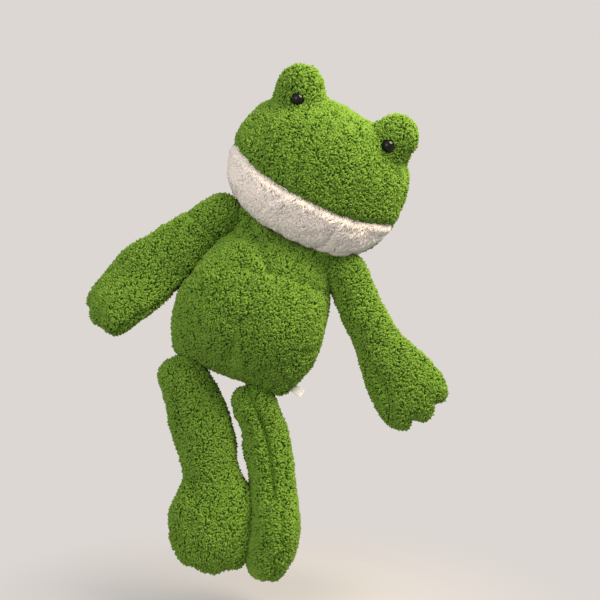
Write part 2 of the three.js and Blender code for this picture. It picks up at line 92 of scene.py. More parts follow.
ARM = dict(
    length=115.0, root=13.0, neck=(27.5, 25.0), end=(50.0, 24.0), reach=19.0, notch=5.5, edge=4.0,
    neck_share=0.28, swell_share=0.32, palm_share=0.84, twist_shares=(0.35, 0.85), forward=0.0,
    root_power=0.9, slim=(0.0, 0.0), slim_shares=(0.0, 0.3, 0.6, 0.9), aside=0.0,
)
RIGHT_ARM = dict(ARM, swell_share=0.12, palm_share=0.75)
LEG = dict(
    length=133.5, root=16.0, neck=(40.0, 30.0), end=(59.0, 31.0), reach=29.0, notch=2.0, edge=3.2,
    neck_share=0.26, swell_share=0.42, palm_share=0.72, twist_shares=(0.0, 0.6), forward=8.0,
    root_power=0.5, slim=(3.2, 1.0), slim_shares=(0.34, 0.52, 0.54, 0.68), aside=0.0,
)
LEFT_LEG_SHORTER = 0.09
LEFT_LEG = dict(
    LEG, length=LEG["length"] * (1 - LEFT_LEG_SHORTER),
    slim=(4.0, 2.6), slim_shares=(-0.1, 0.12, 0.32, 0.6), aside=4.8,
)
ASIDE_SHARE = 0.55
NOTCH_ACROSS, NOTCH_SPREAD = np.cos(68 * DEGREE), 0.8
ARM_SEAT, LEG_SEAT, SHOULDER_SHARE, HIP_SPREAD, FOOT_CLEARANCE = 1.2, 1.0, 0.81, 26.8, 6.5
JOINT_CLEARANCE = 1.0

# %% [markdown]
# ## Small tools for shapes
#
# A surface is a grid of points worked out in one go: rows run along the piece and columns across it.
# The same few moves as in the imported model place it: a turn about Y, a bend along an arc and a shift.

# %% Curves, turns and bends
def smooth_step(t):
    """0 below 0, 1 above 1 and an even S between: 3t^2 - 2t^3."""
    u = np.clip(t, 0, 1)
    return u * u * (3 - 2 * u)


def bell(distance, spread):
    """1 at no distance, falling off evenly: e^-(distance/spread)^2."""
    return np.exp(-((distance / spread) ** 2))


def unit(vectors):
    """Vectors at length 1."""
    return vectors / np.maximum(np.linalg.norm(vectors, axis=-1, keepdims=True), 1e-9)


def through(rows, heights, at):
    """A smooth curve through a table that never overshoots it: a cubic between each two rows, whose
    slope at a row is the harmonic mean of the slopes beside it, or zero at a peak."""
    gaps = np.diff(rows)
    slopes = np.diff(heights) / gaps
    before, after = slopes[:-1], slopes[1:]
    same_way = before * after > 0
    inner = np.where(same_way, 2 * before * after / np.where(same_way, before + after, 1), 0)
    slope = np.concatenate([slopes[:1], inner, slopes[-1:]])
    i = np.clip(np.searchsorted(rows, at, side="right") - 1, 0, len(gaps) - 1)
    t = (at - rows[i]) / gaps[i]
    return (
        (1 + 2 * t) * (1 - t) ** 2 * heights[i] + t * t * (3 - 2 * t) * heights[i + 1]
        + gaps[i] * (t * (1 - t) ** 2 * slope[i] - t * t * (1 - t) * slope[i + 1])
    )


def turned(points, turn):
    """Points turned about Y: x cos + z sin, y, z cos - x sin."""
    x, y, z = np.moveaxis(points, -1, 0)
    return np.stack([x * np.cos(turn) + z * np.sin(turn), y, z * np.cos(turn) - x * np.sin(turn)], -1)


def bent(points, per_mm):
    """What stands above z = 0, laid along an arc that turns by per_mm for each millimetre of height."""
    x, y, z = np.moveaxis(points, -1, 0)
    turn = np.maximum(z, 0) * per_mm
    over = np.stack(
        [(1 - np.cos(turn)) / per_mm + x * np.cos(turn), y, np.sin(turn) / per_mm - x * np.sin(turn)], -1
    )
    return np.where(z[..., None] > 0, over, points)


def stand(points, place):
    """Points put at a place (x, z, turn) in the torso's middle plane."""
    x, z, turn = place
    return turned(points, turn) + [x, 0, z]


def unstand(points, place):
    """The same points as the piece at that place sees them."""
    x, z, turn = place
    return turned(points - [x, 0, z], -turn)


# %% [markdown]
# ## Where each part joins the torso
#
# The head sits in a dish in the torso's top. The arms start beside the shoulders, just under the
# head's sweep, and the legs hang from two balls at the torso's foot.

# %% Places on the torso
TORSO_TURN = TORSO_BEND / TORSO_HEIGHT


def along_torso(height):
    """The place (x, z, turn) at a height on the torso's bent axis."""
    turn = height * TORSO_TURN
    return (1 - np.cos(turn)) / TORSO_TURN, np.sin(turn) / TORSO_TURN, turn


def torso_half(height, column):
    """Half the torso's width (1) or depth (2) at a height, before it is bent."""
    size = (TORSO_WIDTH, TORSO_DEPTH)[column - 1]
    share = np.clip(height / TORSO_HEIGHT, 0, 1)
    return through(TORSO_SHARES[:, 0], TORSO_SHARES[:, column], share) * size / 2


def straight_half_width(share):
    """The torso's half width at a share of its height, read along straight lines of the table."""
    return np.interp(share, TORSO_SHARES[:, 0], TORSO_SHARES[:, 1]) * TORSO_WIDTH / 2


def jaw(across, grown=0.0):
    """The jaw's drop under the head's middle at a distance from its axis: a rounded outline."""
    share = np.clip(np.abs(across) / (HEAD_WIDTH / 2 + grown), 0, 1)
    return (HEAD_BELOW + grown) * (1 - share ** JAW_FULLNESS) ** (1 / JAW_FULLNESS)


head_on_axis = TORSO_HEIGHT - HEAD_SEAT + HEAD_BELOW
HEAD_PLACE = along_torso(head_on_axis)
shoulder_spread = straight_half_width(SHOULDER_SHARE) + ARM["root"] - ARM_SEAT
tiny = shoulder_spread / 1000
jaw_slope = np.arctan2(jaw(shoulder_spread - tiny) - jaw(shoulder_spread + tiny), 2 * tiny)
shoulder_drop = (ARM["root"] + HEAD_CLEARANCE) / np.cos(jaw_slope)
shoulder_x, shoulder_z, shoulder_turn = along_torso(head_on_axis - jaw(shoulder_spread) - shoulder_drop)


def shoulder(side):
    """The place of an arm's root ball; side is 1 for the frog's left."""
    return (
        shoulder_x + side * shoulder_spread * np.cos(shoulder_turn),
        shoulder_z - side * shoulder_spread * np.sin(shoulder_turn),
        shoulder_turn,
    )


def hip(side):
    """The place of a leg's root ball."""
    return side * HIP_SPREAD, LEG_SEAT - LEG["root"], 0.0


def half_reach(twist):
    """How far a foot reaches sideways when it is turned by twist."""
    return np.hypot(LEG["end"][0] / 2 * np.cos(twist), LEG["end"][1] / 2 * np.sin(twist))


LEFT_ARM_POSE = dict(lean=44 * DEGREE, bend=21 * DEGREE, twist=0.0)
RIGHT_ARM_POSE = dict(lean=-30 * DEGREE, bend=13 * DEGREE, twist=45 * DEGREE)
RIGHT_LEG_POSE = dict(lean=45.5 * DEGREE, bend=-32 * DEGREE, twist=0.0)
left_leg_bend, left_leg_twist = -34 * DEGREE, 75 * DEGREE
feet_apart = half_reach(0.0) + half_reach(left_leg_twist) + FOOT_CLEARANCE
chord_lean = RIGHT_LEG_POSE["lean"] + RIGHT_LEG_POSE["bend"] / 2
foot_along = LEG["length"] - LEG["reach"]
left_chord_lean = np.arcsin(np.sin(chord_lean) + (feet_apart - 2 * HIP_SPREAD) / foot_along)
LEFT_LEG_POSE = dict(lean=left_chord_lean - left_leg_bend / 2, bend=left_leg_bend, twist=left_leg_twist)

patch_x, patch_z, _ = along_torso(REST_PATCH_SHARE * TORSO_HEIGHT)
PATCH = turned(np.array([patch_x, TORSO_DEPTH / 2 - REST_PATCH_DEPTH, patch_z]), TORSO_LEAN)


def hung(points):
    """Torso places as the toy hangs: leaning, with the middle of the back's flat patch at the origin."""
    return turned(points, TORSO_LEAN) - PATCH


print("torso's foot, mm:", np.round(hung(np.zeros(3)), 1))

# %% [markdown]
# ## The forms
#
# Each panel is one grid of points. The torso is a pear drawn in to a straight seam at its foot. The
# head is a bun whose outline is fuller below its middle. A limb is a ball, a tube that swells and
# tapers, and a flat paddle with a notched edge. `side` is -1 for a front panel and 1 for a back one.
# With each point goes its distance from the nearest seam, because the cloth is drawn in there.

# %% Torso form
def torso_panel(side, rows=110, columns=110):
    """Rings of half ellipses: width and depth read from the table of shares, dense at both ends."""
    share = (1 - np.cos(np.linspace(0, np.pi, rows)))[:, None] / 2
    angle = side * np.linspace(0, np.pi, columns)[None, :]
    height = share * TORSO_HEIGHT
    x = torso_half(height, 1) * np.cos(angle) * np.where(share < 1, 1, 0)
    y = torso_half(height, 2) * np.sin(angle)
    points = np.stack([x, y, height + 0 * angle], -1)
    return points, np.abs(y)


# %% Head forms
def bun(rise, angle):
    """A bun: rings whose width is cos^p of the rise and whose height is sin^p of it."""
    low = rise < 0
    power = np.where(low, 2 / JAW_FULLNESS, 2 / CROWN_FULLNESS)
    out = np.maximum(np.cos(rise), 0) ** power
    up = np.sign(rise) * np.abs(np.sin(rise)) ** power * np.where(low, HEAD_BELOW, HEAD_ABOVE)
    x, y = HEAD_WIDTH / 2 * out * np.cos(angle), HEAD_DEPTH / 2 * out * np.sin(angle)
    return np.stack([x, y, up + 0 * angle], -1)


def mouth_drop(x):
    """How far the mouth seam lies under the head's middle: low at the middle, high at the corners."""
    across = np.clip(np.abs(x) / (HEAD_WIDTH / 2), 0, 1)
    return MOUTH_MIDDLE + (MOUTH_CORNER - MOUTH_MIDDLE) * across ** MOUTH_FLATNESS


def mouth_rise(angle, halvings=40):
    """The rise at which the bun meets the mouth seam, found by halving the range it lies in."""
    low, high = np.full_like(angle, -np.pi / 2), np.zeros_like(angle)
    for _ in range(halvings):
        middle = (low + high) / 2
        at = bun(middle, angle)
        above = at[..., 2] + mouth_drop(at[..., 0]) > 0
        low, high = np.where(above, low, middle), np.where(above, middle, high)
    return middle


def head_panel(part, rows=100, columns=120):
    """The bun's back, or its front above (face) or below (chin) the mouth seam."""
    angle = (1 if part == "back" else -1) * np.linspace(0, np.pi, columns)
    seam = mouth_rise(angle)
    bottom = (seam if part == "face" else -np.pi / 2) + 0 * angle
    top = (seam if part == "chin" else np.pi / 2) + 0 * angle
    v = np.linspace(0, 1, rows)[:, None]
    points = bun(bottom + (top - bottom) * v, angle + 0 * v)
    to_mouth = np.abs(points[..., 2] + mouth_drop(points[..., 0]))
    to_side = np.abs(points[..., 1])
    return points, to_side if part == "back" else np.minimum(to_mouth, to_side)


def mound_middle(eye_side):
    """The middle of an eye mound, in head places."""
    return [eye_side * MOUND_SPREAD, -MOUND_FORWARD, MOUND_RISE]


def mound_panel(eye_side, side, rows=60, columns=60):
    """Half an ellipsoid on the crown."""
    rise = np.linspace(-np.pi / 2, np.pi / 2, rows)[:, None]
    angle = side * np.linspace(0, np.pi, columns)[None, :]
    ring = np.cos(rise)
    ball = np.stack([ring * np.cos(angle), ring * np.sin(angle), np.sin(rise) + 0 * angle], -1)
    points = ball * MOUND_RADII
    return points + mound_middle(eye_side), np.abs(points[..., 1])


# %% Limb form
def limb_half(limb, z, which):
    """Half a limb's width (0) or thickness (1): from root to neck, then from neck to paddle, and
    slimmer where the hanging leg's cloth is stretched."""
    share = z / limb["length"]
    neck, end = limb["neck"][which] / 2, limb["end"][which] / 2
    to_neck = limb["root"] + (neck - limb["root"]) * smooth_step(share / limb["neck_share"])
    begins, full, ends, gone = limb["slim_shares"]
    drawn = smooth_step((share - begins) / (full - begins)) * smooth_step((gone - share) / (gone - ends))
    return to_neck - limb["slim"][which] * drawn + (end - neck) * smooth_step(
        (share - limb["swell_share"]) / (limb["palm_share"] - limb["swell_share"])
    )


def limb_grid(limb, angle, ball_rows=16, tube_rows=72, edge_rows=24):
    """A limb standing on its root ball: ball rows, tube rows, then the paddle's rounded edge rows,
    whose reach is shorter at the notches between the fingers or toes."""
    palm = limb["length"] - limb["reach"]
    ball = np.linspace(-np.pi / 2, 0, ball_rows)[:, None]
    tube = np.linspace(0, palm, tube_rows)[1:, None]
    edge = np.linspace(0, np.pi / 2, edge_rows)[1:, None]
    across = np.abs(np.cos(angle))
    round_end = np.sqrt(np.maximum(1 - across ** limb["edge"], 0))
    dip = smooth_step(1 - np.abs(across - NOTCH_ACROSS) / (NOTCH_ACROSS * NOTCH_SPREAD))
    reach = np.maximum(limb["reach"] * round_end - limb["notch"] * dip, 0)
    round_root = np.maximum(np.cos(ball), 0)
    square_root = round_root ** limb["root_power"]
    width = np.concatenate([
        limb_half(limb, 0.0, 0) * square_root, limb_half(limb, tube, 0),
        limb_half(limb, palm + 0 * edge, 0),
    ])
    thickness = np.concatenate([
        limb_half(limb, 0.0, 1) * round_root, limb_half(limb, tube, 1),
        limb_half(limb, palm, 1) * np.cos(edge),
    ])
    z = np.concatenate([
        limb["root"] * np.sin(ball) + 0 * angle, tube + 0 * angle, palm + reach * np.sin(edge),
    ])
    return np.stack([width * np.cos(angle), thickness * np.sin(angle), z], -1)


def limb_panel(limb, side, columns=76):
    """A limb's front or back half."""
    points = limb_grid(limb, side * np.linspace(0, np.pi, columns)[None, :])
    return points, np.abs(points[..., 1])


def twist_at(share, limb, pose):
    """How far a limb is twisted at a share of its length."""
    start, stop = limb["twist_shares"]
    return pose["twist"] * smooth_step((share - start) / (stop - start))


def posed(points, limb, pose):
    """A straight limb with its forward foot, its twist and its bend, hung down from its root and
    sagging aside towards its foot."""
    x, y, z = np.moveaxis(points, -1, 0)
    share = z / limb["length"]
    past = np.maximum(share - limb["swell_share"], 0) / (1 - limb["swell_share"])
    y = y - limb["forward"] * past ** 2
    twist = twist_at(share, limb, pose)
    x, y = x * np.cos(twist) - y * np.sin(twist), x * np.sin(twist) + y * np.cos(twist)
    x = x + limb["aside"] * smooth_step(share / ASIDE_SHARE)
    return bent(np.stack([x, y, z], -1), -pose["bend"] / limb["length"]) * [-1, 1, -1]


# %% [markdown]
# ## Cloth
#
# Stuffing is never quite even, so the cloth swells and sinks a little, folds softly, and is drawn in
# along its seams. The unevenness is a sum of a few long waves, which is the same on both sides of a
# seam and costs nothing to work out.

# %% Normals, stuffing and seams
WAVES, WAVE_GAIN, WAVE_RANGE = 7, 1.6, (0.7, 1.4)
CLOTH_SEED, UNEVEN, SWELL_WAVE, FINER_WAVE, FINER_SHARE = 11, 0.85, 34.0, 15.0, 0.5
SEAM_DEPTH, SEAM_SPREAD = 1.7, 2.6
CREASE_DEPTH, CREASE_SPREAD, CREASE_EDGE = 1.1, 0.16, 2.5
CREASE_WAVE, CREASE_PATCH, CREASE_UPRIGHT = 30.0, 45.0, 0.35


def normals(points, outward):
    """Unit normals of a grid, from the cross product of its two slopes, all on the outward side."""
    along, across = np.gradient(points, axis=0), np.gradient(points, axis=1)
    normal = np.cross(along, across)
    size = np.linalg.norm(normal, axis=-1, keepdims=True)
    normal = np.where(size > 1e-9, normal / np.maximum(size, 1e-9), 0)
    for row, neighbour in ((0, 1), (-1, -2)):
        normal[row] = np.where(size[row] > 1e-4, normal[row], normal[neighbour])
    return normal * outward


def lumps(points, wavelength, seed):
    """Waves of about one length in seeded directions, added up: a soft unevenness from -1 to 1."""
    rng = np.random.default_rng(seed)
    ways = rng.normal(size=(WAVES, 3))
    ways *= (2 * np.pi / wavelength) * rng.uniform(*WAVE_RANGE, (WAVES, 1)) / np.linalg.norm(
        ways, axis=1, keepdims=True
    )
    waves = np.sin(points @ ways.T + rng.uniform(0, 2 * np.pi, WAVES))
    return waves.mean(-1) * WAVE_GAIN


def creases(points, seed):
    """Soft folds: valleys along the lines where one set of waves, drawn out upwards, passes through
    zero, kept only where a second set is high."""
    drawn_out = points * [1, 1, CREASE_UPRIGHT]
    line = bell(lumps(drawn_out, CREASE_WAVE, seed), CREASE_SPREAD)
    return line * smooth_step(CREASE_EDGE * lumps(points, CREASE_PATCH, seed + 1))


def clothed(points, seam, outward):
    """The form as stuffed cloth: lumps out, and seams and creases in, by a bell of the distance."""
    drawn = SEAM_DEPTH * bell(seam, SEAM_SPREAD) + CREASE_DEPTH * creases(points, CLOTH_SEED + 5)
    finer = FINER_SHARE * lumps(points, FINER_WAVE, CLOTH_SEED + 1)
    swell = UNEVEN * (lumps(points, SWELL_WAVE, CLOTH_SEED) + finer)
    return points + normals(points, outward) * (swell - drawn)[..., None]


# %% [markdown]
# ## Curls
#
# A plush panel is a knitted backing with thousands of curls on it. Their roots are spread by the
# golden ratio, which fills any surface evenly, then nudged so that no rows show. Each curl is a bent,
# tapering hook with three sides: a root point, two rings and a tip point, 12 triangles in all. Two
# numbers are stored on it for its colour: how near the tip a point is, and one random number a curl.

# %% Spread the roots
GOLDEN = (5 ** 0.5 - 1) / 2
NUDGE = 0.42


def spread(points, spacing, rng):
    """Grid places (row, column) of even roots: rows by the share of area below, columns by multiples
    of the golden ratio through the area of that row, each nudged by part of the spacing."""
    diagonal = points[1:, 1:] - points[:-1, :-1]
    other = points[1:, :-1] - points[:-1, 1:]
    cell = np.linalg.norm(np.cross(diagonal, other), axis=-1) / 2
    area = cell.sum()
    count = int(area / spacing ** 2)
    length = np.linalg.norm(np.diff(points, axis=0), axis=-1).sum(0).mean()
    nudge = NUDGE * spacing * rng.uniform(-1, 1, (2, count))
    order = np.arange(count)
    up = np.clip((order + 0.5) / count + nudge[0] / length, 0, 1)
    over = np.clip((order * GOLDEN) % 1 + nudge[1] * length / area, 0, 1)
    below = np.concatenate([[0], np.cumsum(cell.sum(1)) / area])
    row = np.interp(up, below, np.arange(len(below)))
    band = np.minimum(row.astype(int), len(cell) - 1)
    within = np.cumsum(cell, axis=1) / np.maximum(cell.sum(1, keepdims=True), 1e-12)
    within = np.concatenate([np.zeros((len(cell), 1)), within], axis=1)[band]
    i = np.clip((within <= over[:, None]).sum(1) - 1, 0, cell.shape[1] - 1)
    start, stop = within[order, i], within[order, i + 1]
    return row, i + (over - start) / np.maximum(stop - start, 1e-12), area


def read(grid, row, column):
    """The value of a grid between its points: the mean of the four round it, by nearness."""
    i = np.minimum(row.astype(int), len(grid) - 2)
    j = np.minimum(column.astype(int), grid.shape[1] - 2)
    fi, fj = row - i, column - j
    if grid.ndim > 2:
        fi, fj = fi[:, None], fj[:, None]
    low = grid[i, j] * (1 - fj) + grid[i, j + 1] * fj
    high = grid[i + 1, j] * (1 - fj) + grid[i + 1, j + 1] * fj
    return low * (1 - fi) + high * fi


# %% One mesh of many curls
RISE = np.array([-0.3, 0.7, 1.0, 0.5])
RUN = np.array([0.0, 0.12, 0.68, 1.0])
SWING = np.array([0.0, 0.3, 0.2, -0.4])
GIRTH = np.array([0.0, 1.0, 0.9, 0.0])
TIPNESS = np.array([0.0, 0.6, 1.0, 0.8])
CURL_POINTS = 8
CURL_SHELF, CURL_MARGIN, MORE_ACROSS = 0.24, 0.08, 1.25


def curl_triangles():
    """One curl's 12 triangles and the share round (u) and along (v) it of each corner."""
    faces, places = [], []
    for j in range(3):
        k = (j + 1) % 3
        left, right, low, high = j / 3, (j + 1) / 3, 1 / 3, 2 / 3
        faces += [[0, 1 + k, 1 + j], [1 + j, 1 + k, 4 + k], [1 + j, 4 + k, 4 + j], [4 + j, 4 + k, 7]]
        places += [
            [[(left + right) / 2, 0], [right, low], [left, low]],
            [[left, low], [right, low], [right, high]],
            [[left, low], [right, high], [left, high]],
            [[left, high], [right, high], [(left + right) / 2, 1]],
        ]
    return np.array(faces), np.array(places)


CURL_FACES, CURL_PLACES = curl_triangles()


def curls(root, normal, lean, tall, long, wide, swing):
    """Hooks as one set of points, triangles, map corners and colour numbers. Each centreline rises by
    RISE, runs along lean by RUN and swings sideways by SWING, and has three-sided rings round it. On
    the map, each curl has a cell of its own, above the shelf that the backing takes."""
    count = len(root)
    side = unit(np.cross(normal, lean))
    steps = (RISE, tall, normal), (RUN, long, lean), (SWING, swing, side)
    line = root[:, None] + sum(s[None, :, None] * a[:, None, None] * d[:, None] for s, a, d in steps)
    way = unit(np.gradient(line, axis=1))
    flat = unit(side[:, None] - (side[:, None] * way).sum(-1, keepdims=True) * way)
    up = np.cross(way, flat)
    girth = GIRTH[None, 1:3, None, None] * wide[:, None, None, None] / 2
    turn = (np.pi / 2 + np.arange(3) * 2 * np.pi / 3)[None, None, :, None]
    rings = line[:, 1:3, None] + girth * (
        flat[:, 1:3, None] * np.cos(turn) + up[:, 1:3, None] * np.sin(turn)
    )
    points = np.concatenate([line[:, :1], rings.reshape(count, 6, 3), line[:, 3:]], axis=1)
    faces = CURL_FACES[None] + CURL_POINTS * np.arange(count)[:, None, None]
    across = int(np.ceil((count * MORE_ACROSS) ** 0.5))
    down = int(np.ceil(count / across))
    cell = np.stack([np.arange(count) % across, np.arange(count) // across], -1)[:, None, None]
    spot = (cell + CURL_MARGIN + (1 - 2 * CURL_MARGIN) * CURL_PLACES[None]) / [across, down]
    corners = spot * [1, 1 - CURL_SHELF] + [0, CURL_SHELF]
    tip = np.tile(np.repeat(TIPNESS, [1, 3, 3, 1]), count)
    return points.reshape(-1, 3), faces.reshape(-1, 3), corners.reshape(-1, 3, 2), tip


# %% [markdown]
# ## Backing cloth
#
# Under the curls lies the knitted backing, a closed sheet a millimetre thick. It is two copies of the
# panel's grid joined round their rim. Points that fall together at a pole are made one, so that the
# surface is closed there.

# %% Closed meshes from a grid
BACKING = 1.0
MAP_MARGIN = 0.02
SHEET_SPOT, SHEET_SIZE, INNER_SHIFT = [MAP_MARGIN, 0.01], [0.46, 0.2], [0.5, 0]
RIM_SPOT, RIM_LENGTH = [MAP_MARGIN, 0.222], [0.96, 0]
RIM_CORNERS = [[0, 0], [0.0004, 0], [0.0004, 0.006]]


def grid_triangles(rows, columns):
    """Two triangles for each cell of a grid of points, as indices."""
    a = (np.arange(rows - 1)[:, None] * columns + np.arange(columns - 1)[None]).ravel()
    b, c, d = a + 1, a + columns + 1, a + columns
    return np.concatenate([np.stack([a, b, c], -1), np.stack([a, c, d], -1)])


def grid_places(rows, columns, low=0.0, high=1.0):
    """A grid's map places (u, v), evenly spaced from low to high."""
    v, u = np.meshgrid(np.linspace(low, high, rows), np.linspace(low, high, columns), indexing="ij")
    return np.stack([u.ravel(), v.ravel()], -1)


def sheet_of(points, normal, flipped, thickness=BACKING):
    """A closed sheet: the grid, the same grid set back along its normals, and a rim between them."""
    rows, columns = points.shape[:2]
    count = rows * columns
    flat = points.reshape(-1, 3)
    inner = flat - normal.reshape(-1, 3) * thickness
    front = grid_triangles(rows, columns)
    index = np.arange(count).reshape(rows, columns)
    loop = np.concatenate([index[0], index[1:, -1], index[-1, -2::-1], index[-2:0:-1, 0]])
    after = np.roll(loop, -1)
    rim = np.concatenate([
        np.stack([after, loop, loop + count], -1), np.stack([after, loop + count, after + count], -1),
    ])
    faces = np.concatenate([front, front[:, ::-1] + count, rim])
    place = grid_places(rows, columns) * SHEET_SIZE + SHEET_SPOT
    corners = np.concatenate([place, place + INNER_SHIFT])[faces]
    edge = np.arange(len(rim)) / len(rim)
    corners[-len(rim):] = (np.stack([edge, 0 * edge], -1) * RIM_LENGTH + RIM_SPOT)[:, None] + RIM_CORNERS
    if flipped:
        faces, corners = faces[:, ::-1], corners[:, ::-1]
    return np.concatenate([flat, inner]), faces, corners


def welded(points, faces, corners):
    """One point for all that fall together, and no triangle that has lost its width."""
    _, first, same = np.unique(np.round(points, 3), axis=0, return_index=True, return_inverse=True)
    faces = same.reshape(-1)[faces]
    whole = (faces[:, 0] != faces[:, 1]) & (faces[:, 1] != faces[:, 2]) & (faces[:, 2] != faces[:, 0])
    return points[first], faces[whole], corners[whole]


# %% Put arrays into a mesh
def mesh_piece(name, points, faces, corners, numbers=None):
    """A Blender object at the origin from points in millimetres, triangles, their map corners and
    colour numbers on the points."""
    mesh = bpy.data.meshes.new(name)
    mesh.vertices.add(len(points))
    mesh.vertices.foreach_set("co", (points * METRES).astype(np.float32).ravel())
    mesh.loops.add(faces.size)
    mesh.loops.foreach_set("vertex_index", faces.astype(np.int32).ravel())
    mesh.polygons.add(len(faces))
    mesh.polygons.foreach_set("loop_start", np.arange(0, faces.size, 3, dtype=np.int32))
    mesh.update(calc_edges=True)
    mesh.uv_layers.new(name="OFBake").data.foreach_set("uv", corners.astype(np.float32).ravel())
    for key, values in (numbers or {}).items():
        mesh.attributes.new(key, "FLOAT", "POINT").data.foreach_set("value", values.astype(np.float32))
    mesh.polygons.foreach_set("use_smooth", np.ones(len(faces), bool))
    piece = bpy.data.objects.new(name, mesh)
    bpy.context.scene.collection.objects.link(piece)
    return piece


def ringed_piece(name, rings):
    """A closed piece from a grid of whole rings whose first and last rows are single points."""
    rows, columns = rings.shape[:2]
    faces = grid_triangles(rows, columns)
    corners = grid_places(rows, columns, MAP_MARGIN, 1 - MAP_MARGIN)[faces]
    return mesh_piece(name, *welded(rings.reshape(-1, 3), faces, corners))


def declare(piece, body, node, finish):
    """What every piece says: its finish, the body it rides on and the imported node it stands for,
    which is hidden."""
    piece.data.materials.append(finish)
    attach(piece, body)
    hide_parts(node)
    print(f"{piece.name}: {len(piece.data.polygons)} triangles, rides on {body}")


# %% [markdown]
# ## Finishes
#
# A finish is a node tree. Its sums are written as Python: a small class wraps a socket, and + - and *
# on it add Math nodes. Colours go through Mix nodes, because a Math node would turn them grey.

# %% Shader sums written as Python
class Wire:
    """An output socket that can be added, subtracted and multiplied, each adding a Math node."""

    def __init__(self, tree, socket):
        self.tree, self.socket = tree, socket

    def sum_of(self, operation, first, second):
        """A Math node of two numbers or wires."""
        return self.tree.node("ShaderNodeMath", {"operation": operation}, {0: first, 1: second})

    def __add__(self, other):
        return self.sum_of("ADD", self, other)

    def __sub__(self, other):
        return self.sum_of("SUBTRACT", self, other)

    def __rsub__(self, other):
        return self.sum_of("SUBTRACT", other, self)

    def __mul__(self, other):
        return self.sum_of("MULTIPLY", self, other)

    __radd__, __rmul__ = __add__, __mul__


class Tree:
    """The nodes of a material or world: node() adds any node, and its helpers read surfaces, mix
    colours and end a finish."""

    def __init__(self, owner):
        self.owner = owner
        owner.use_nodes = True
        self.nodes, self.links = owner.node_tree.nodes, owner.node_tree.links
        self.nodes.clear()

    def node(self, kind, settings=None, values=None, output=0):
        """Any node: its settings first, then the values or links of its inputs."""
        made = self.nodes.new(kind)
        for key, value in (settings or {}).items():
            setattr(made, key, value)
        for key, value in (values or {}).items():
            if isinstance(value, Wire):
                self.links.new(value.socket, made.inputs[key])
            else:
                made.inputs[key].default_value = value
        return Wire(self, made.outputs[output]) if len(made.outputs) else None

    def stored(self, name):
        """A number that the mesh keeps on its points."""
        return self.node("ShaderNodeAttribute", {"attribute_name": name}, output="Fac")

    def place(self):
        """The object's own coordinates."""
        return self.node("ShaderNodeTexCoord", output="Object")

    def noise(self, scale, detail=2.0, rough=0.5):
        """Cloudy noise by place; scale is in clouds a metre."""
        values = {"Vector": self.place(), "Scale": scale, "Detail": detail, "Roughness": rough}
        return self.node("ShaderNodeTexNoise", values=values, output="Fac")

    def mixed(self, share, first, second):
        """Two colours mixed by a share."""
        return self.node("ShaderNodeMix", {"data_type": "RGBA"}, {0: share, 6: first, 7: second}, output=2)

    def bump(self, height, distance, strength=1.0):
        """A normal from a height."""
        values = {"Height": height, "Distance": distance, "Strength": strength}
        return self.node("ShaderNodeBump", values=values)

    def surface(self, **values):
        """The shader that ends a finish; a name's underscores stand for spaces."""
        named = {key.replace("_", " "): value for key, value in values.items()}
        shader = self.node("ShaderNodeBsdfPrincipled", values=named)
        self.node("ShaderNodeOutputMaterial", values={"Surface": shader})
        return self.owner


def new_finish(name):
    """A new material's empty tree."""
    return Tree(bpy.data.materials.new(name))


def paint(code):
    """A colour such as 4f8f22, as the eye sees it, in the light's own numbers."""
    seen = np.array([int(code[i:i + 2], 16) for i in (0, 2, 4)]) / 255
    light = np.where(seen <= 0.04045, seen / 12.92, ((seen + 0.055) / 1.055) ** 2.4)
    return (*map(float, light), 1.0)


# %% [markdown]
# ## Plush
#
# Curly plush is dark between its curls and bright on their tips, where light comes through the
# fibres. That light and shade is painted into its colour: painted shade, a deep green, at the roots
# and on the backing, and painted light, a yellower green, at the tips, and every curl differs a
# little. A soft sheen stands for the loose fibre ends, and a fine bump for the yarn.

# %% Plush finishes
MIDDLE_GAIN, TIP_FROM, TIP_GAIN, CLOUDY = 1.7, 0.35, 1.2, 0.5


def plush(name, deep, middle, tip, sheen, uneven):
    """Painted shade at the roots, deep to middle by nearness to the tip, then painted light at the tip:
    the tip's own colour, by a share that each curl and each cloud varies."""
    finish = new_finish(name)
    near_tip, lock = finish.stored("tip"), finish.stored("lock")
    cloud = finish.noise(45.0, 3.0)
    # Painted shade at the roots and on the backing, then painted light towards the tips.
    colour = finish.mixed(near_tip * MIDDLE_GAIN, paint(deep), paint(middle))
    tip_light = (near_tip - TIP_FROM) * TIP_GAIN * (lock * uneven + (1 - uneven))
    painted_tip_light = tip_light + (cloud - 0.5) * CLOUDY
    yarn = finish.noise(2600.0, 3.0, 0.7)
    return finish.surface(
        Base_Color=finish.mixed(painted_tip_light, colour, paint(tip)),
        Roughness=0.86 + yarn * 0.12,
        Normal=finish.bump(yarn, 0.0004, 0.6),
        Sheen_Weight=sheen,
        Sheen_Roughness=0.5,
        Sheen_Tint=paint(tip),
        Specular_IOR_Level=0.25,
    )


# Each plush's colours: painted shade at the roots, the middle, and painted light at the tips.
green_plush = plush("green_curly_plush", "57821c", "648926", "7da03d", 0.35, 0.45)
white_plush = plush("white_brushed_plush", "f0e4d8", "f5e9de", "f8efe7", 0.2, 0.4)


# %% Bead, ribbon and inner finishes
RIB, THREAD = 0.45, 0.3


def bead_finish():
    """Polished black plastic: almost no colour, and faint handling marks in its gloss."""
    finish = new_finish("polished_black_bead")
    marks = finish.noise(900.0, 4.0, 0.65)
    return finish.surface(
        Base_Color=finish.mixed(marks, paint("050506"), paint("0d0d10")),
        Roughness=0.06 + marks * 0.08,
        Specular_IOR_Level=0.25,
    )


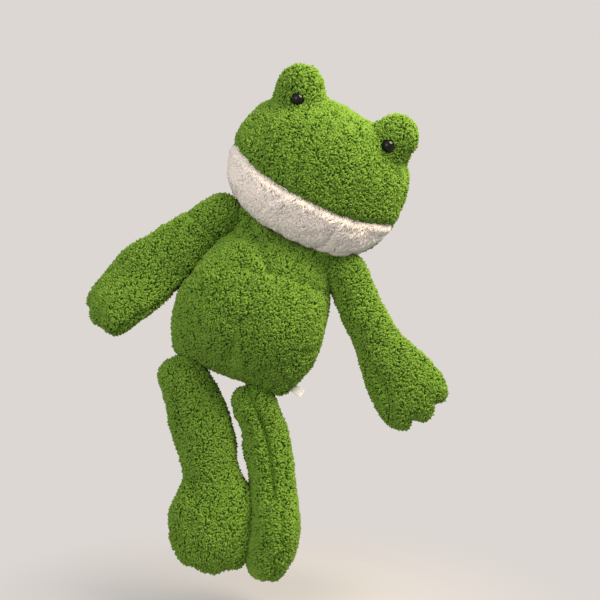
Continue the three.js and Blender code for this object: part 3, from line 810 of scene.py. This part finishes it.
def ribbon_finish():
    """Satin ribbon: fine ribs across it, from the two distances stored on the mesh."""
    finish = new_finish("white_satin_ribbon")
    rib, thread = (
        finish.node("ShaderNodeMath", {"operation": "SINE"}, {0: finish.stored(way) * (2 * np.pi / every)})
        for way, every in (("along", RIB), ("across", THREAD))
    )
    weave = rib * 0.35 + thread * 0.15 + 0.5
    return finish.surface(
        Base_Color=finish.mixed(weave, paint("e3e0dc"), paint("f7f5f2")),
        Roughness=0.42 + weave * 0.2,
        Normal=finish.bump(weave, 0.00012, 0.7),
        Sheen_Weight=0.2,
    )


def stuffing_finish():
    """Loose white fibre: soft clouds of shade with a strong fine bump."""
    finish = new_finish("polyester_stuffing")
    cloud, fibre = finish.noise(60.0, 4.0), finish.noise(1400.0, 5.0, 0.75)
    return finish.surface(
        Base_Color=finish.mixed(cloud, paint("dcd9d2"), paint("faf9f5")),
        Roughness=0.9 + fibre * 0.1,
        Normal=finish.bump(fibre, 0.0012),
        Sheen_Weight=0.3,
    )


def washer_finish():
    """Moulded white plastic with a faint grain."""
    finish = new_finish("moulded_white_plastic")
    grain = finish.noise(1800.0)
    return finish.surface(
        Base_Color=finish.mixed(grain, paint("e4e4e0"), paint("eeeeea")),
        Roughness=0.4 + grain * 0.15,
        Normal=finish.bump(grain, 0.00005, 0.5),
    )


black_bead, satin_ribbon = bead_finish(), ribbon_finish()
stuffing, white_plastic = stuffing_finish(), washer_finish()

# %% [markdown]
# ## Where cloth gives way
#
# Where two stuffed parts press together there is no room for curls, and nobody sees them. A curl is
# left out where its middle would be inside another part, or where the torso gives way to a part.

# %% How far a point stands out of a part
def above_torso(points):
    """How far torso-frame points stand out of the pear: its bend undone, then along the line from its
    axis, or past its ends."""
    x, y, z = np.moveaxis(points, -1, 0)
    height = np.arctan2(z, 1 / TORSO_TURN - x) / TORSO_TURN
    out = 1 / TORSO_TURN - np.hypot(z, 1 / TORSO_TURN - x)
    wide, deep = (np.maximum(torso_half(height, column), 1e-3) for column in (1, 2))
    times = np.maximum(np.hypot(out / wide, y / deep), 1e-6)
    beside = np.hypot(out, y) * (1 - 1 / times)
    return np.maximum(np.maximum(beside, -height), height - TORSO_HEIGHT)


def above_head(points):
    """How far head-frame points stand out of the bun, along the ray from its middle."""
    x, y, z = np.moveaxis(points, -1, 0)
    power = np.where(z < 0, JAW_FULLNESS, CROWN_FULLNESS)
    ring = np.hypot(x / (HEAD_WIDTH / 2), y / (HEAD_DEPTH / 2))
    times = (ring ** power + (np.abs(z) / np.where(z < 0, HEAD_BELOW, HEAD_ABOVE)) ** power) ** (1 / power)
    return np.linalg.norm(points, axis=-1) * (1 - 1 / np.maximum(times, 1e-6))


def above_mound(points, eye_side):
    """How far head-frame points stand out of a mound, along the ray from its middle."""
    away = points - mound_middle(eye_side)
    times = np.linalg.norm(away / MOUND_RADII, axis=-1)
    return np.linalg.norm(away, axis=-1) * (1 - 1 / np.maximum(times, 1e-6))


# %% How the torso gives way
CHIN_PRESS, PRESS_FROM, PRESS_FULL = 7.5, 8.0, 20.0
PRESS_WIDE, PRESS_GONE = 24.0, 38.0


def give_way(points, inset=0.0):
    """Torso-frame points moved out of the head's sweep and the four root balls, and how far each is
    pressed. In front, where the chin hangs over it, the rim is lowered more, which leaves it free."""
    local = unstand(points, HEAD_PLACE)
    across, ahead = np.abs(local[..., 0]), -local[..., 1]
    lowered = CHIN_PRESS * smooth_step((ahead - PRESS_FROM) / (PRESS_FULL - PRESS_FROM))
    lowered = lowered * smooth_step((PRESS_GONE - across) / (PRESS_GONE - PRESS_WIDE))
    from_axis = np.hypot(across, ahead)
    ceiling = -jaw(from_axis, HEAD_CLEARANCE + inset) - lowered
    down = np.where(from_axis < HEAD_WIDTH / 2, np.maximum(local[..., 2] - ceiling, 0), 0)
    moved = stand(local - down[..., None] * [0, 0, 1], HEAD_PLACE)
    pressed = np.where(lowered < 1, down, 0)
    for limb, joint in ((ARM, shoulder), (LEG, hip)):
        for side in (-1, 1):
            x, z, _ = joint(side)
            middle = np.array([x, 0, z])
            away = moved - middle
            far = np.linalg.norm(away, axis=-1, keepdims=True)
            reach = limb["root"] + JOINT_CLEARANCE + inset
            moved = np.where(far < reach, middle + unit(away) * reach, moved)
            pressed = pressed + np.maximum(reach - far[..., 0], 0)
    return moved, pressed


# %% [markdown]
# ## Sewing the panels
#
# One function makes any panel: it clothes the form, puts it in its place, spreads the curls and joins
# them to the backing. The green curls are short and turn every way, in patches that flow together.
# The chin's pile is longer and finer, brushed down from the mouth seam. Lengths are in millimetres.

# %% One plush panel
GREEN_PILE = dict(
    finish=green_plush, slot="green_plush",
    spacing=1.1, tall=1.7, long=2.2, wide=1.9, swing=0.9, flow=1.3, patch=11.0,
)
WHITE_PILE = dict(
    finish=white_plush, slot="white_plush",
    spacing=0.88, tall=0.95, long=4.0, wide=1.9, swing=0.4, flow=0.8, patch=8.0,
)
CURL_MIDDLE, PRESSED_FLAT, CURL_RANGE, SWING_GAIN, COMBED = 0.6, 0.25, (0.6, 1.4), 1.3, 0.55
# SEAM_SHADE is painted shade: how much tip colour a curl loses near a seam.
SEAM_REACH, SEAM_SINK, SEAM_SHADE = 1.6, 0.45, 0.6


def plush_panel(
    name, form, flipped, place, keep, body, seed, pile=GREEN_PILE, comb=None, plump=None, longer=None,
):
    """A panel as one piece, from its form's points and their distances from a seam. flipped says that
    the grid's own normals point inwards, place carries local points to where the toy hangs, keep says
    which roots, in torso places, have room, comb is the way that the pile is brushed, plump gives how
    far the cloth is filled out beyond its plain form, and longer how many times as long as the rest a
    curl is."""
    points, seam = form
    rng = np.random.default_rng(seed)
    outward = -1 if flipped else 1
    if plump is not None:
        points = points + normals(points, outward) * plump(points)[..., None]
    settled = place(clothed(points, seam, outward))
    settled, pressed = give_way(settled) if body == "torso" else (settled, 0 * seam)
    normal = normals(settled, outward)
    row, column, area = spread(settled, pile["spacing"], rng)
    root, up = read(settled, row, column), unit(read(normal, row, column))
    roomy = keep(root + up * pile["tall"] * CURL_MIDDLE) & (read(pressed, row, column) < PRESSED_FLAT)
    row, column, root, up = row[roomy], column[roomy], root[roomy], up[roomy]
    count = len(root)
    stream = np.stack([lumps(root, pile["patch"], wave) for wave in (3, 4, 5)], -1)
    free = unit(rng.normal(size=(count, 3))) + pile["flow"] * unit(stream)
    if comb is not None:
        free = free * COMBED + comb
    lean = unit(free - (free * up).sum(-1, keepdims=True) * up)
    vary = rng.uniform(*CURL_RANGE, (4, count))
    grown = np.ones(count) if longer is None else longer(root)
    caught = bell(read(seam, row, column), SEAM_REACH)
    hooks, faces, corners, tip = curls(
        root, up, lean,
        tall=pile["tall"] * vary[0] * (1 - SEAM_SINK * caught) * grown,
        long=pile["long"] * vary[1] * grown,
        wide=pile["wide"] * vary[2],
        swing=pile["swing"] * rng.choice([-1, 1], count) * vary[3] * SWING_GAIN,
    )
    lock = np.repeat(rng.uniform(0, 1, count), CURL_POINTS)
    # Painted shade along seams and folds: curls near one get less of the tip's colour.
    tip = tip * np.repeat(1 - SEAM_SHADE * caught, CURL_POINTS)
    back, back_faces, back_corners = welded(*sheet_of(settled, normal, flipped))
    # The backing's tip number is 0, so it takes the deep root colour: painted shade between the curls.
    bare = np.zeros(len(back))
    piece = mesh_piece(
        f"{name}_plush",
        hung(np.concatenate([back, hooks])),
        np.concatenate([back_faces, faces + len(back)]),
        np.concatenate([back_corners, corners]),
        {"tip": np.concatenate([bare, tip]), "lock": np.concatenate([bare + 0.5, lock])},
    )
    declare(piece, body, name, pile["finish"])
    print(f"  {count} curls on {area / 100:.0f} square cm")


# %% [markdown]
# ## Torso
#
# The torso's corners are filled out towards the arms, its chest is a little hollow under the chin, and
# three folds run over its front. Its rim is lowered under the chin, so its filling is made here as
# well, a little inside the cloth and lowered with it.

# %% Torso panels
SHOULDER_FILL, SHOULDER_HEIGHT, SHOULDER_SPAN = 5.0, 107.0, 6.0
SHOULDER_FROM, SHOULDER_SOFT = 22.0, 10.0
CHEST_HOLLOW, CHEST_HEIGHT, CHEST_SPAN = 3.2, 97.0, 12.0
FOLD_SPREAD, FRONT_SOFT = 3.8, 14.0
TORSO_FOLDS = (
    ((-26.0, 103.0), (-1.0, 77.0), 3.0),
    ((-1.0, 77.0), (40.0, 79.0), 1.8),
    ((-4.0, 40.0), (-1.0, 13.0), 2.6),
)


def clear_of_head(points):
    """Which torso places lie outside the bun."""
    return above_head(unstand(points, HEAD_PLACE)) >= 0


def as_it_is(points):
    """The torso's own place: only its bend."""
    return bent(points, TORSO_TURN)


def fold_line(x, z, start, stop):
    """A fold between two places on a front: a bell of the distance from the line that joins them."""
    start, way = np.array(start), np.subtract(stop, start)
    off = np.stack([x, z], -1) - start
    along = np.clip(off @ way / (way @ way), 0, 1)
    return bell(np.linalg.norm(off - along[..., None] * way, axis=-1), FOLD_SPREAD)


def torso_shaping(points):
    """The filled corners, less the hollow chest and the front's folds."""
    x, y, z = np.moveaxis(points, -1, 0)
    corner = np.exp(-(((z - SHOULDER_HEIGHT) / SHOULDER_SPAN) ** 2) - (y / (2 * SHOULDER_SPAN)) ** 2)
    filled = SHOULDER_FILL * corner * smooth_step((np.abs(x) - SHOULDER_FROM) / SHOULDER_SOFT)
    folds = sum(depth * fold_line(x, z, start, stop) for start, stop, depth in TORSO_FOLDS)
    hollow = CHEST_HOLLOW * bell(z - CHEST_HEIGHT, CHEST_SPAN)
    return filled - (folds + hollow) * smooth_step(-y / FRONT_SOFT)


for side, name in ((-1, "torso_front"), (1, "torso_back")):
    plush_panel(
        name, torso_panel(side), side > 0, as_it_is, clear_of_head, "torso",
        seed=20 + side, plump=torso_shaping,
    )

# %% Torso filling
STUFFING_INSET = 3.7


def torso_rings(rows=60, columns=97):
    """Whole rings inside the pear, which give way as the cloth does, closed at both ends."""
    share = (1 - np.cos(np.linspace(0, np.pi, rows)))[:, None] / 2
    angle = np.linspace(0, 2 * np.pi, columns)[None, :]
    height = share * TORSO_HEIGHT
    ends = np.where((share > 0) & (share < 1), 1, 0)
    x = np.maximum(torso_half(height, 1) - STUFFING_INSET, 0) * np.cos(angle) * ends
    y = np.maximum(torso_half(height, 2) - STUFFING_INSET, 0) * np.sin(angle) * ends
    z = STUFFING_INSET + share * (TORSO_HEIGHT - 2 * STUFFING_INSET) + 0 * angle
    whole = np.stack([x, y, z], -1)
    hollow = np.minimum(torso_shaping(whole), 0)[..., None] * np.where(y < 0, 1, 0)[..., None]
    moved, _ = give_way(bent(whole - hollow * [0, 1, 0], TORSO_TURN), STUFFING_INSET)
    return moved


def filling_piece(body, rings):
    """A body's filling, from rings in torso places."""
    filling = ringed_piece(f"{body}_stuffing", hung(rings))
    declare(filling, body, f"{body}_filling", stuffing)


filling_piece("torso", torso_rings())

# %% [markdown]
# ## Head
#
# The face, back and chin share one bun. Its cloth is drawn up a little round the eye mounds, and the
# chin is filled out low in front, where it hangs over the torso. The back's curls are a little further
# apart than the others, because it is the largest panel.

# %% Head and chin panels
FLARE, FLARE_SPREAD, HEAD_FLARE_SHARE = 4.6, 6.0, 0.6
LEFT_MOUND_SLIMMER, RIGHT_MOUND_SLIMMER = 1.2, 0.3
CHIN_FILL, CHIN_FROM_SHARE, CHIN_AHEAD, CHIN_SOFT = 2.0, 0.4, 4.0, 12.0
BACK_SPACING = 1.14


def on_head(points):
    """Head places carried to the torso's."""
    return stand(points, HEAD_PLACE)


def clear_of_torso(points):
    """Which torso places lie outside the pear."""
    return above_torso(points) > 0


def round_mounds(points):
    """The head's cloth drawn up round each mound: a bell of the distance from it."""
    near = [bell(np.maximum(above_mound(points, side), 0), FLARE_SPREAD) for side in (-1, 1)]
    return HEAD_FLARE_SHARE * FLARE * (near[0] + near[1])


def chin_shaping(points):
    """The same, and the chin filled out low in front."""
    low = smooth_step((-points[..., 2] - CHIN_FROM_SHARE * HEAD_BELOW) / CHIN_SOFT)
    ahead = smooth_step((-points[..., 1] - CHIN_AHEAD) / CHIN_SOFT)
    return round_mounds(points) + CHIN_FILL * (low * ahead)


def mound_foot(points):
    """A mound's foot spread onto the head, by a bell of the distance from the head, and the frog's
    left mound a little smaller."""
    foot = FLARE * bell(np.maximum(above_head(points), 0), FLARE_SPREAD)
    return foot - np.where(points[..., 0] > 0, LEFT_MOUND_SLIMMER, RIGHT_MOUND_SLIMMER)


DOWN_THE_CHIN = on_head(np.array([0.0, 0.0, -1.0])) - on_head(np.zeros(3))
for part, name, pile, comb, shaping in (
    ("face", "head_face", GREEN_PILE, None, round_mounds),
    ("back", "head_back", dict(GREEN_PILE, spacing=BACK_SPACING), None, round_mounds),
    ("chin", "chin_panel", WHITE_PILE, DOWN_THE_CHIN, chin_shaping),
):
    plush_panel(
        name, head_panel(part), part == "back", on_head, clear_of_torso, "head",
        seed=30 + len(name), pile=pile, comb=comb, plump=shaping,
    )

# %% [markdown]
# ## Eye mounds and beads
#
# Each mound is a small stuffed dome on the crown, and its bead sits low on its front, in a shallow
# seat with the curls parted round it. A bead is turned from a profile: a flat back with its shank, a
# short rim and a low dome.

# %% Bead places and profile
def bead_place(eye_side):
    """The bead's seat in head places, and the way it faces."""
    spot = np.array([-eye_side * BEAD_INWARD / MOUND_RADII[0], 0, -BEAD_DROP / MOUND_RADII[2]])
    spot[1] = -np.sqrt(1 - spot[0] ** 2 - spot[2] ** 2)
    facing = unit(spot / MOUND_RADII * [1, 1, BEAD_TILT_SHARE])
    return spot * MOUND_RADII + mound_middle(eye_side), facing


def bead_rings(seat, facing, dome_rows=22, columns=49):
    """The profile carried once round the bead's axis; rows run from the shank's end to the dome."""
    dome = np.linspace(0, np.pi / 2, dome_rows)
    radius = np.concatenate([
        [0, SHANK_RADIUS, SHANK_RADIUS, BEAD_RADIUS - BEAD_EDGE], BEAD_RADIUS * np.cos(dome),
    ])
    radius[-1] = 0
    height = np.concatenate([
        [-SHANK_LENGTH, -SHANK_LENGTH, 0, 0], BEAD_RIM + (BEAD_HEIGHT - BEAD_RIM) * np.sin(dome),
    ]) - BEAD_SUNK
    turn = np.linspace(0, 2 * np.pi, columns)
    first = unit(np.cross(facing, [0.0, 0.0, 1.0]))
    second = np.cross(facing, first)
    ring = first * np.cos(turn)[:, None] + second * np.sin(turn)[:, None]
    return seat + radius[:, None, None] * ring[None] + height[:, None, None] * facing


# %% Make the mounds and beads
BEAD_ROOM, BEAD_BEHIND = 0.3, 4.0

for eye_side, eye in ((1, "left"), (-1, "right")):
    seat, facing = bead_place(eye_side)

    def room_on_mound(points):
        """Outside the head, and beside the bead or behind it."""
        local = unstand(points, HEAD_PLACE)
        from_seat = local - seat
        along = from_seat @ facing
        beside = np.linalg.norm(from_seat - along[:, None] * facing, axis=-1) > BEAD_RADIUS + BEAD_ROOM
        return (above_head(local) >= 0) & (beside | (along < -BEAD_BEHIND))

    for side, which in ((-1, "front"), (1, "back")):
        plush_panel(
            f"{eye}_mound_{which}", mound_panel(eye_side, side), side > 0, on_head, room_on_mound, "head",
            seed=50 + 3 * eye_side + side, plump=mound_foot,
        )
    bead = ringed_piece(f"{eye}_eye_bead", hung(on_head(bead_rings(seat, facing))))
    declare(bead, "head", f"{eye}_eye", black_bead)

# %% [markdown]
# ## Arms and legs
#
# A limb is two panels sewn round its edge. The back leg is twisted, so that its side seam faces
# forwards, and a long fold runs down it there. Both legs are drawn in at the ankle. The legs' cloth is
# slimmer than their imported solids, so their fillings are made here as well, inside that cloth.

# %% Shaping of the limbs
ANKLE_SHARE, ANKLE_DEPTH, ANKLE_SPREAD, ANKLE_SLANT = 0.53, 1.6, 3.0, 2.5
ANKLE_ALL, ANKLE_OUTER = 0.55, 0.45
SIDE_FOLD, SIDE_FOLD_SPREAD, SIDE_FOLD_ASIDE, SIDE_FOLD_SHADE = 1.4, 2.0, 1.5, 0.55
SIDE_FOLD_BACK, SIDE_FOLD_END, SIDE_FOLD_FADE, FAR_OFF = 4.0, 0.5, 0.14, 40
ARM_FILL, ARM_FILL_REACH, ARM_FILL_FROM, ARM_FILL_SOFT = 2.8, 5.0, 22.0, 12.0
SHOULDER_FOLD, SHOULDER_FOLD_HEIGHT, SHOULDER_FOLD_SLANT = 1.8, 15.0, 0.25
SHOULDER_FOLD_SPREAD, SHOULDER_FOLD_SOFT = 2.6, 8.0
LEG_STUFFING_INSET = 6.0
LIMB_ROOM, UNWORN, UNWORN_REACH = 0.3, 0.7, 4.0


def leg_shaping(points):
    """A leg's cloth drawn in across the ankle, most on its outer edge: a slanted bell along the leg."""
    x, y, z = np.moveaxis(points, -1, 0)
    across = np.clip(x / (LEG["neck"][0] / 2), -1, 1)
    off = z - ANKLE_SHARE * LEG["length"] + ANKLE_SLANT * across
    return -ANKLE_DEPTH * bell(off, ANKLE_SPREAD) * (ANKLE_ALL + ANKLE_OUTER * across)


def from_side_fold(points):
    """How far left-leg points are from the long fold down the twisted leg where it faces forwards."""
    x, y, z = np.moveaxis(points, -1, 0)
    share = z / LEFT_LEG["length"]
    twist = twist_at(share, LEFT_LEG, LEFT_LEG_POSE)
    off = x * np.cos(twist) - y * np.sin(twist) + SIDE_FOLD_ASIDE
    behind = FAR_OFF * smooth_step(x * np.sin(twist) + y * np.cos(twist) + SIDE_FOLD_BACK)
    return np.abs(off) + (behind + FAR_OFF * smooth_step((share - SIDE_FOLD_END) / SIDE_FOLD_FADE))


def left_leg_shaping(points):
    """The ankle and the long fold."""
    return leg_shaping(points) - SIDE_FOLD * bell(from_side_fold(points), SIDE_FOLD_SPREAD)


def right_arm_shaping(points):
    """A fold across the front of the shoulder, and the arm a little fuller where it lies along the
    torso."""
    x, y, z = np.moveaxis(points, -1, 0)
    root_x, root_z, root_turn = shoulder(-1)
    place = (root_x, root_z, root_turn - RIGHT_ARM_POSE["lean"])
    apart = above_torso(stand(posed(points, RIGHT_ARM, RIGHT_ARM_POSE), place))
    filled = ARM_FILL * bell(apart, ARM_FILL_REACH) * smooth_step((z - ARM_FILL_FROM) / ARM_FILL_SOFT)
    fold = SHOULDER_FOLD * bell(z - SHOULDER_FOLD_HEIGHT - SHOULDER_FOLD_SLANT * x, SHOULDER_FOLD_SPREAD)
    return filled - fold * smooth_step(-y / SHOULDER_FOLD_SOFT)


def limb_rings(limb, less, columns=97):
    """Whole rings of a limb that is smaller all round."""
    sizes = {key: tuple(size - 2 * less for size in limb[key]) for key in ("neck", "end")}
    sizes |= {key: limb[key] - less for key in ("root", "reach", "length")}
    return limb_grid(dict(limb, **sizes), np.linspace(0, 2 * np.pi, columns)[None, :])


def room_on_limb(points):
    """Which torso places lie outside the pear, by a little, and outside the bun."""
    return (above_torso(points) > LIMB_ROOM) & clear_of_head(points)


def fuller(points):
    """Curls are longer beside the torso, where the pile isn't worn down."""
    return 1 + UNWORN * bell(np.maximum(above_torso(points), 0), UNWORN_REACH)


# %% Make the limbs
for number, (limb_name, limb, (root_x, root_z, root_turn), pose, shaping) in enumerate((
    ("left_arm", ARM, shoulder(1), LEFT_ARM_POSE, None),
    ("right_arm", RIGHT_ARM, shoulder(-1), RIGHT_ARM_POSE, right_arm_shaping),
    ("left_leg", LEFT_LEG, hip(1), LEFT_LEG_POSE, left_leg_shaping),
    ("right_leg", LEG, hip(-1), RIGHT_LEG_POSE, leg_shaping),
)):
    def onto_torso(points):
        """The limb posed and hung from its root ball."""
        return stand(posed(points, limb, pose), (root_x, root_z, root_turn - pose["lean"]))

    for side, which in ((-1, "front"), (1, "back")):
        points, seam = limb_panel(limb, side)
        # The long fold counts as a seam: its cloth sinks, its curls are shorter and carry painted shade.
        if limb_name == "left_leg":
            seam = np.minimum(seam, SIDE_FOLD_SHADE * from_side_fold(points))
        plush_panel(
            f"{limb_name}_{which}", (points, seam), side > 0, onto_torso, room_on_limb, limb_name,
            seed=70 + 3 * number + side, plump=shaping, longer=fuller,
        )
    if "leg" in limb_name:
        filling_piece(limb_name, onto_torso(limb_rings(limb, LEG_STUFFING_INSET)))

# %% [markdown]
# ## Care label
#
# A short white ribbon is caught in the seam near the torso's foot. It is left bare.

# %% Ribbon label
LABEL_LENGTH, LABEL_WIDTH, LABEL_CAUGHT, RIBBON_THICKNESS = 10.5, 6.0, 2.3, 0.35
LABEL_SHARE, LABEL_DROOP = 0.072, 14 * DEGREE
LABEL_BOW, LABEL_CUP, LABEL_DRAWN = 1.1, 0.35, 0.4


def label_piece(rows=40, columns=14):
    """A strip that leaves the seam straight and curls out of its plane by a rising bow."""
    along = np.linspace(-LABEL_CAUGHT, LABEL_LENGTH, rows)[:, None] + np.zeros((1, columns))
    across = np.linspace(-0.5, 0.5, columns)[None] * LABEL_WIDTH + np.zeros((rows, 1))
    free = np.maximum(along, 0) / LABEL_LENGTH
    bow = -LABEL_BOW * free ** 2 + LABEL_CUP * free * np.sin(np.pi * across / LABEL_WIDTH)
    strip = np.stack([along - LABEL_DRAWN * free ** 2, bow, across], -1)
    settled = stand(strip, (straight_half_width(LABEL_SHARE), LABEL_SHARE * TORSO_HEIGHT, LABEL_DROOP))
    points, faces, corners = sheet_of(settled, normals(settled, 1), False, RIBBON_THICKNESS)
    numbers = {key: np.tile(values.ravel(), 2) for key, values in (("along", along), ("across", across))}
    return mesh_piece("care_label_ribbon", hung(points), faces, corners, numbers)


declare(label_piece(), "torso", "care_label", satin_ribbon)

# %% [markdown]
# ## What stays as packed
#
# The fillings of the head, its mounds and the arms and the washers behind the beads are inside the
# cloth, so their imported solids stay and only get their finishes.

# %% Hidden pieces
for name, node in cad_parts.items():
    if name.endswith("_filling"):
        node.material_slots[0].material = stuffing
    if name.endswith("_washer"):
        node.material_slots[0].material = white_plastic

# %% [markdown]
# ## Floor, light and camera
#
# The toy hangs, so a pale floor lies a little under its toes. The world looks pale to the camera and
# to anything shiny, and gives the toy a soft plain light. A large warm lamp stands to the right and
# above, and a broader, weaker one fills in from the left of the camera.

# %% Floor
FLOOR_DROP, FLOOR_RADIUS = 0.03, 4.0
FLOOR_SHOWN, FLOOR_GONE = 0.12, 0.36


def floor_finish():
    """Pale matt paper that thins out to nothing with its distance from the middle, so that it ends in
    the pale world without a line."""
    finish = new_finish("pale_floor")
    far = finish.node("ShaderNodeVectorMath", {"operation": "LENGTH"}, {0: finish.place()}, output="Value")
    limits = {"Value": far, "From Min": FLOOR_SHOWN, "From Max": FLOOR_GONE}
    gone = finish.node("ShaderNodeMapRange", {"interpolation_type": "SMOOTHERSTEP"}, limits)
    paper = finish.mixed(finish.noise(3.0), paint("c2beba"), paint("c8c4c0"))
    return finish.surface(Base_Color=paper, Roughness=0.9, Alpha=1 - gone)


floor_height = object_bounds()[0][2] - FLOOR_DROP
turn = np.linspace(0, 2 * np.pi, 96, endpoint=False)
rim = np.stack([FLOOR_RADIUS * np.cos(turn), FLOOR_RADIUS * np.sin(turn), floor_height + 0 * turn], -1)
floor_mesh = bpy.data.meshes.new("floor")
floor_mesh.from_pydata(rim.tolist(), [], [range(len(rim))])
floor_mesh.materials.append(floor_finish())
floor = bpy.data.objects.new("floor", floor_mesh)
bpy.context.scene.collection.objects.link(floor)

# %% World and lamps
WORLD_STRENGTH = 0.46

room = Tree(bpy.data.worlds.new("pale_room"))
bpy.context.scene.world = room.owner
camera_ray, glossy_ray, clear_ray = (
    room.node("ShaderNodeLightPath", output=f"Is {kind} Ray")
    for kind in ("Camera", "Glossy", "Transmission")
)
seen = room.node(
    "ShaderNodeMath", {"operation": "ADD", "use_clamp": True}, {0: camera_ray, 1: glossy_ray + clear_ray},
)
lit = room.node("ShaderNodeBackground", values={"Color": paint("f4f6fa"), "Strength": WORLD_STRENGTH})
shown = room.node("ShaderNodeBackground", values={"Color": paint("ddd7d3")})
both = room.node("ShaderNodeMixShader", values={0: seen, 1: lit, 2: shown})
room.node("ShaderNodeOutputWorld", values={"Surface": both})


def lamp(name, place, target, size, power, colour):
    """A square area lamp that faces a target; sizes are in metres and watts."""
    data = bpy.data.lights.new(name, "AREA")
    data.size, data.energy, data.color = size, power, paint(colour)[:3]
    light = bpy.data.objects.new(name, data)
    light.location = place
    light.rotation_euler = (Vector(target) - Vector(place)).to_track_quat("-Z", "Y").to_euler()
    bpy.context.scene.collection.objects.link(light)


lamp("warm_side", (0.52, -0.31, 0.66), (0.02, -0.04, 0.12), 0.5, 15.5, "fff0d8")
lamp("pale_front", (-0.5, -1.0, 0.4), (0.02, -0.04, 0.15), 0.9, 7.2, "fdf8f2")

# %% Camera
camera_data = bpy.data.cameras.new("camera")
camera_data.sensor_fit = "HORIZONTAL"
camera_data.angle = 38.6 * DEGREE
camera_data.clip_start, camera_data.clip_end = 0.01, 20
camera = bpy.data.objects.new("camera", camera_data)
camera.location = (0.0309, -0.6373, 0.0046)
camera.rotation_euler = (np.pi / 2, 0, 0)
bpy.context.scene.collection.objects.link(camera)
bpy.context.scene.camera = camera
bpy.context.scene.view_settings.view_transform = "Standard"
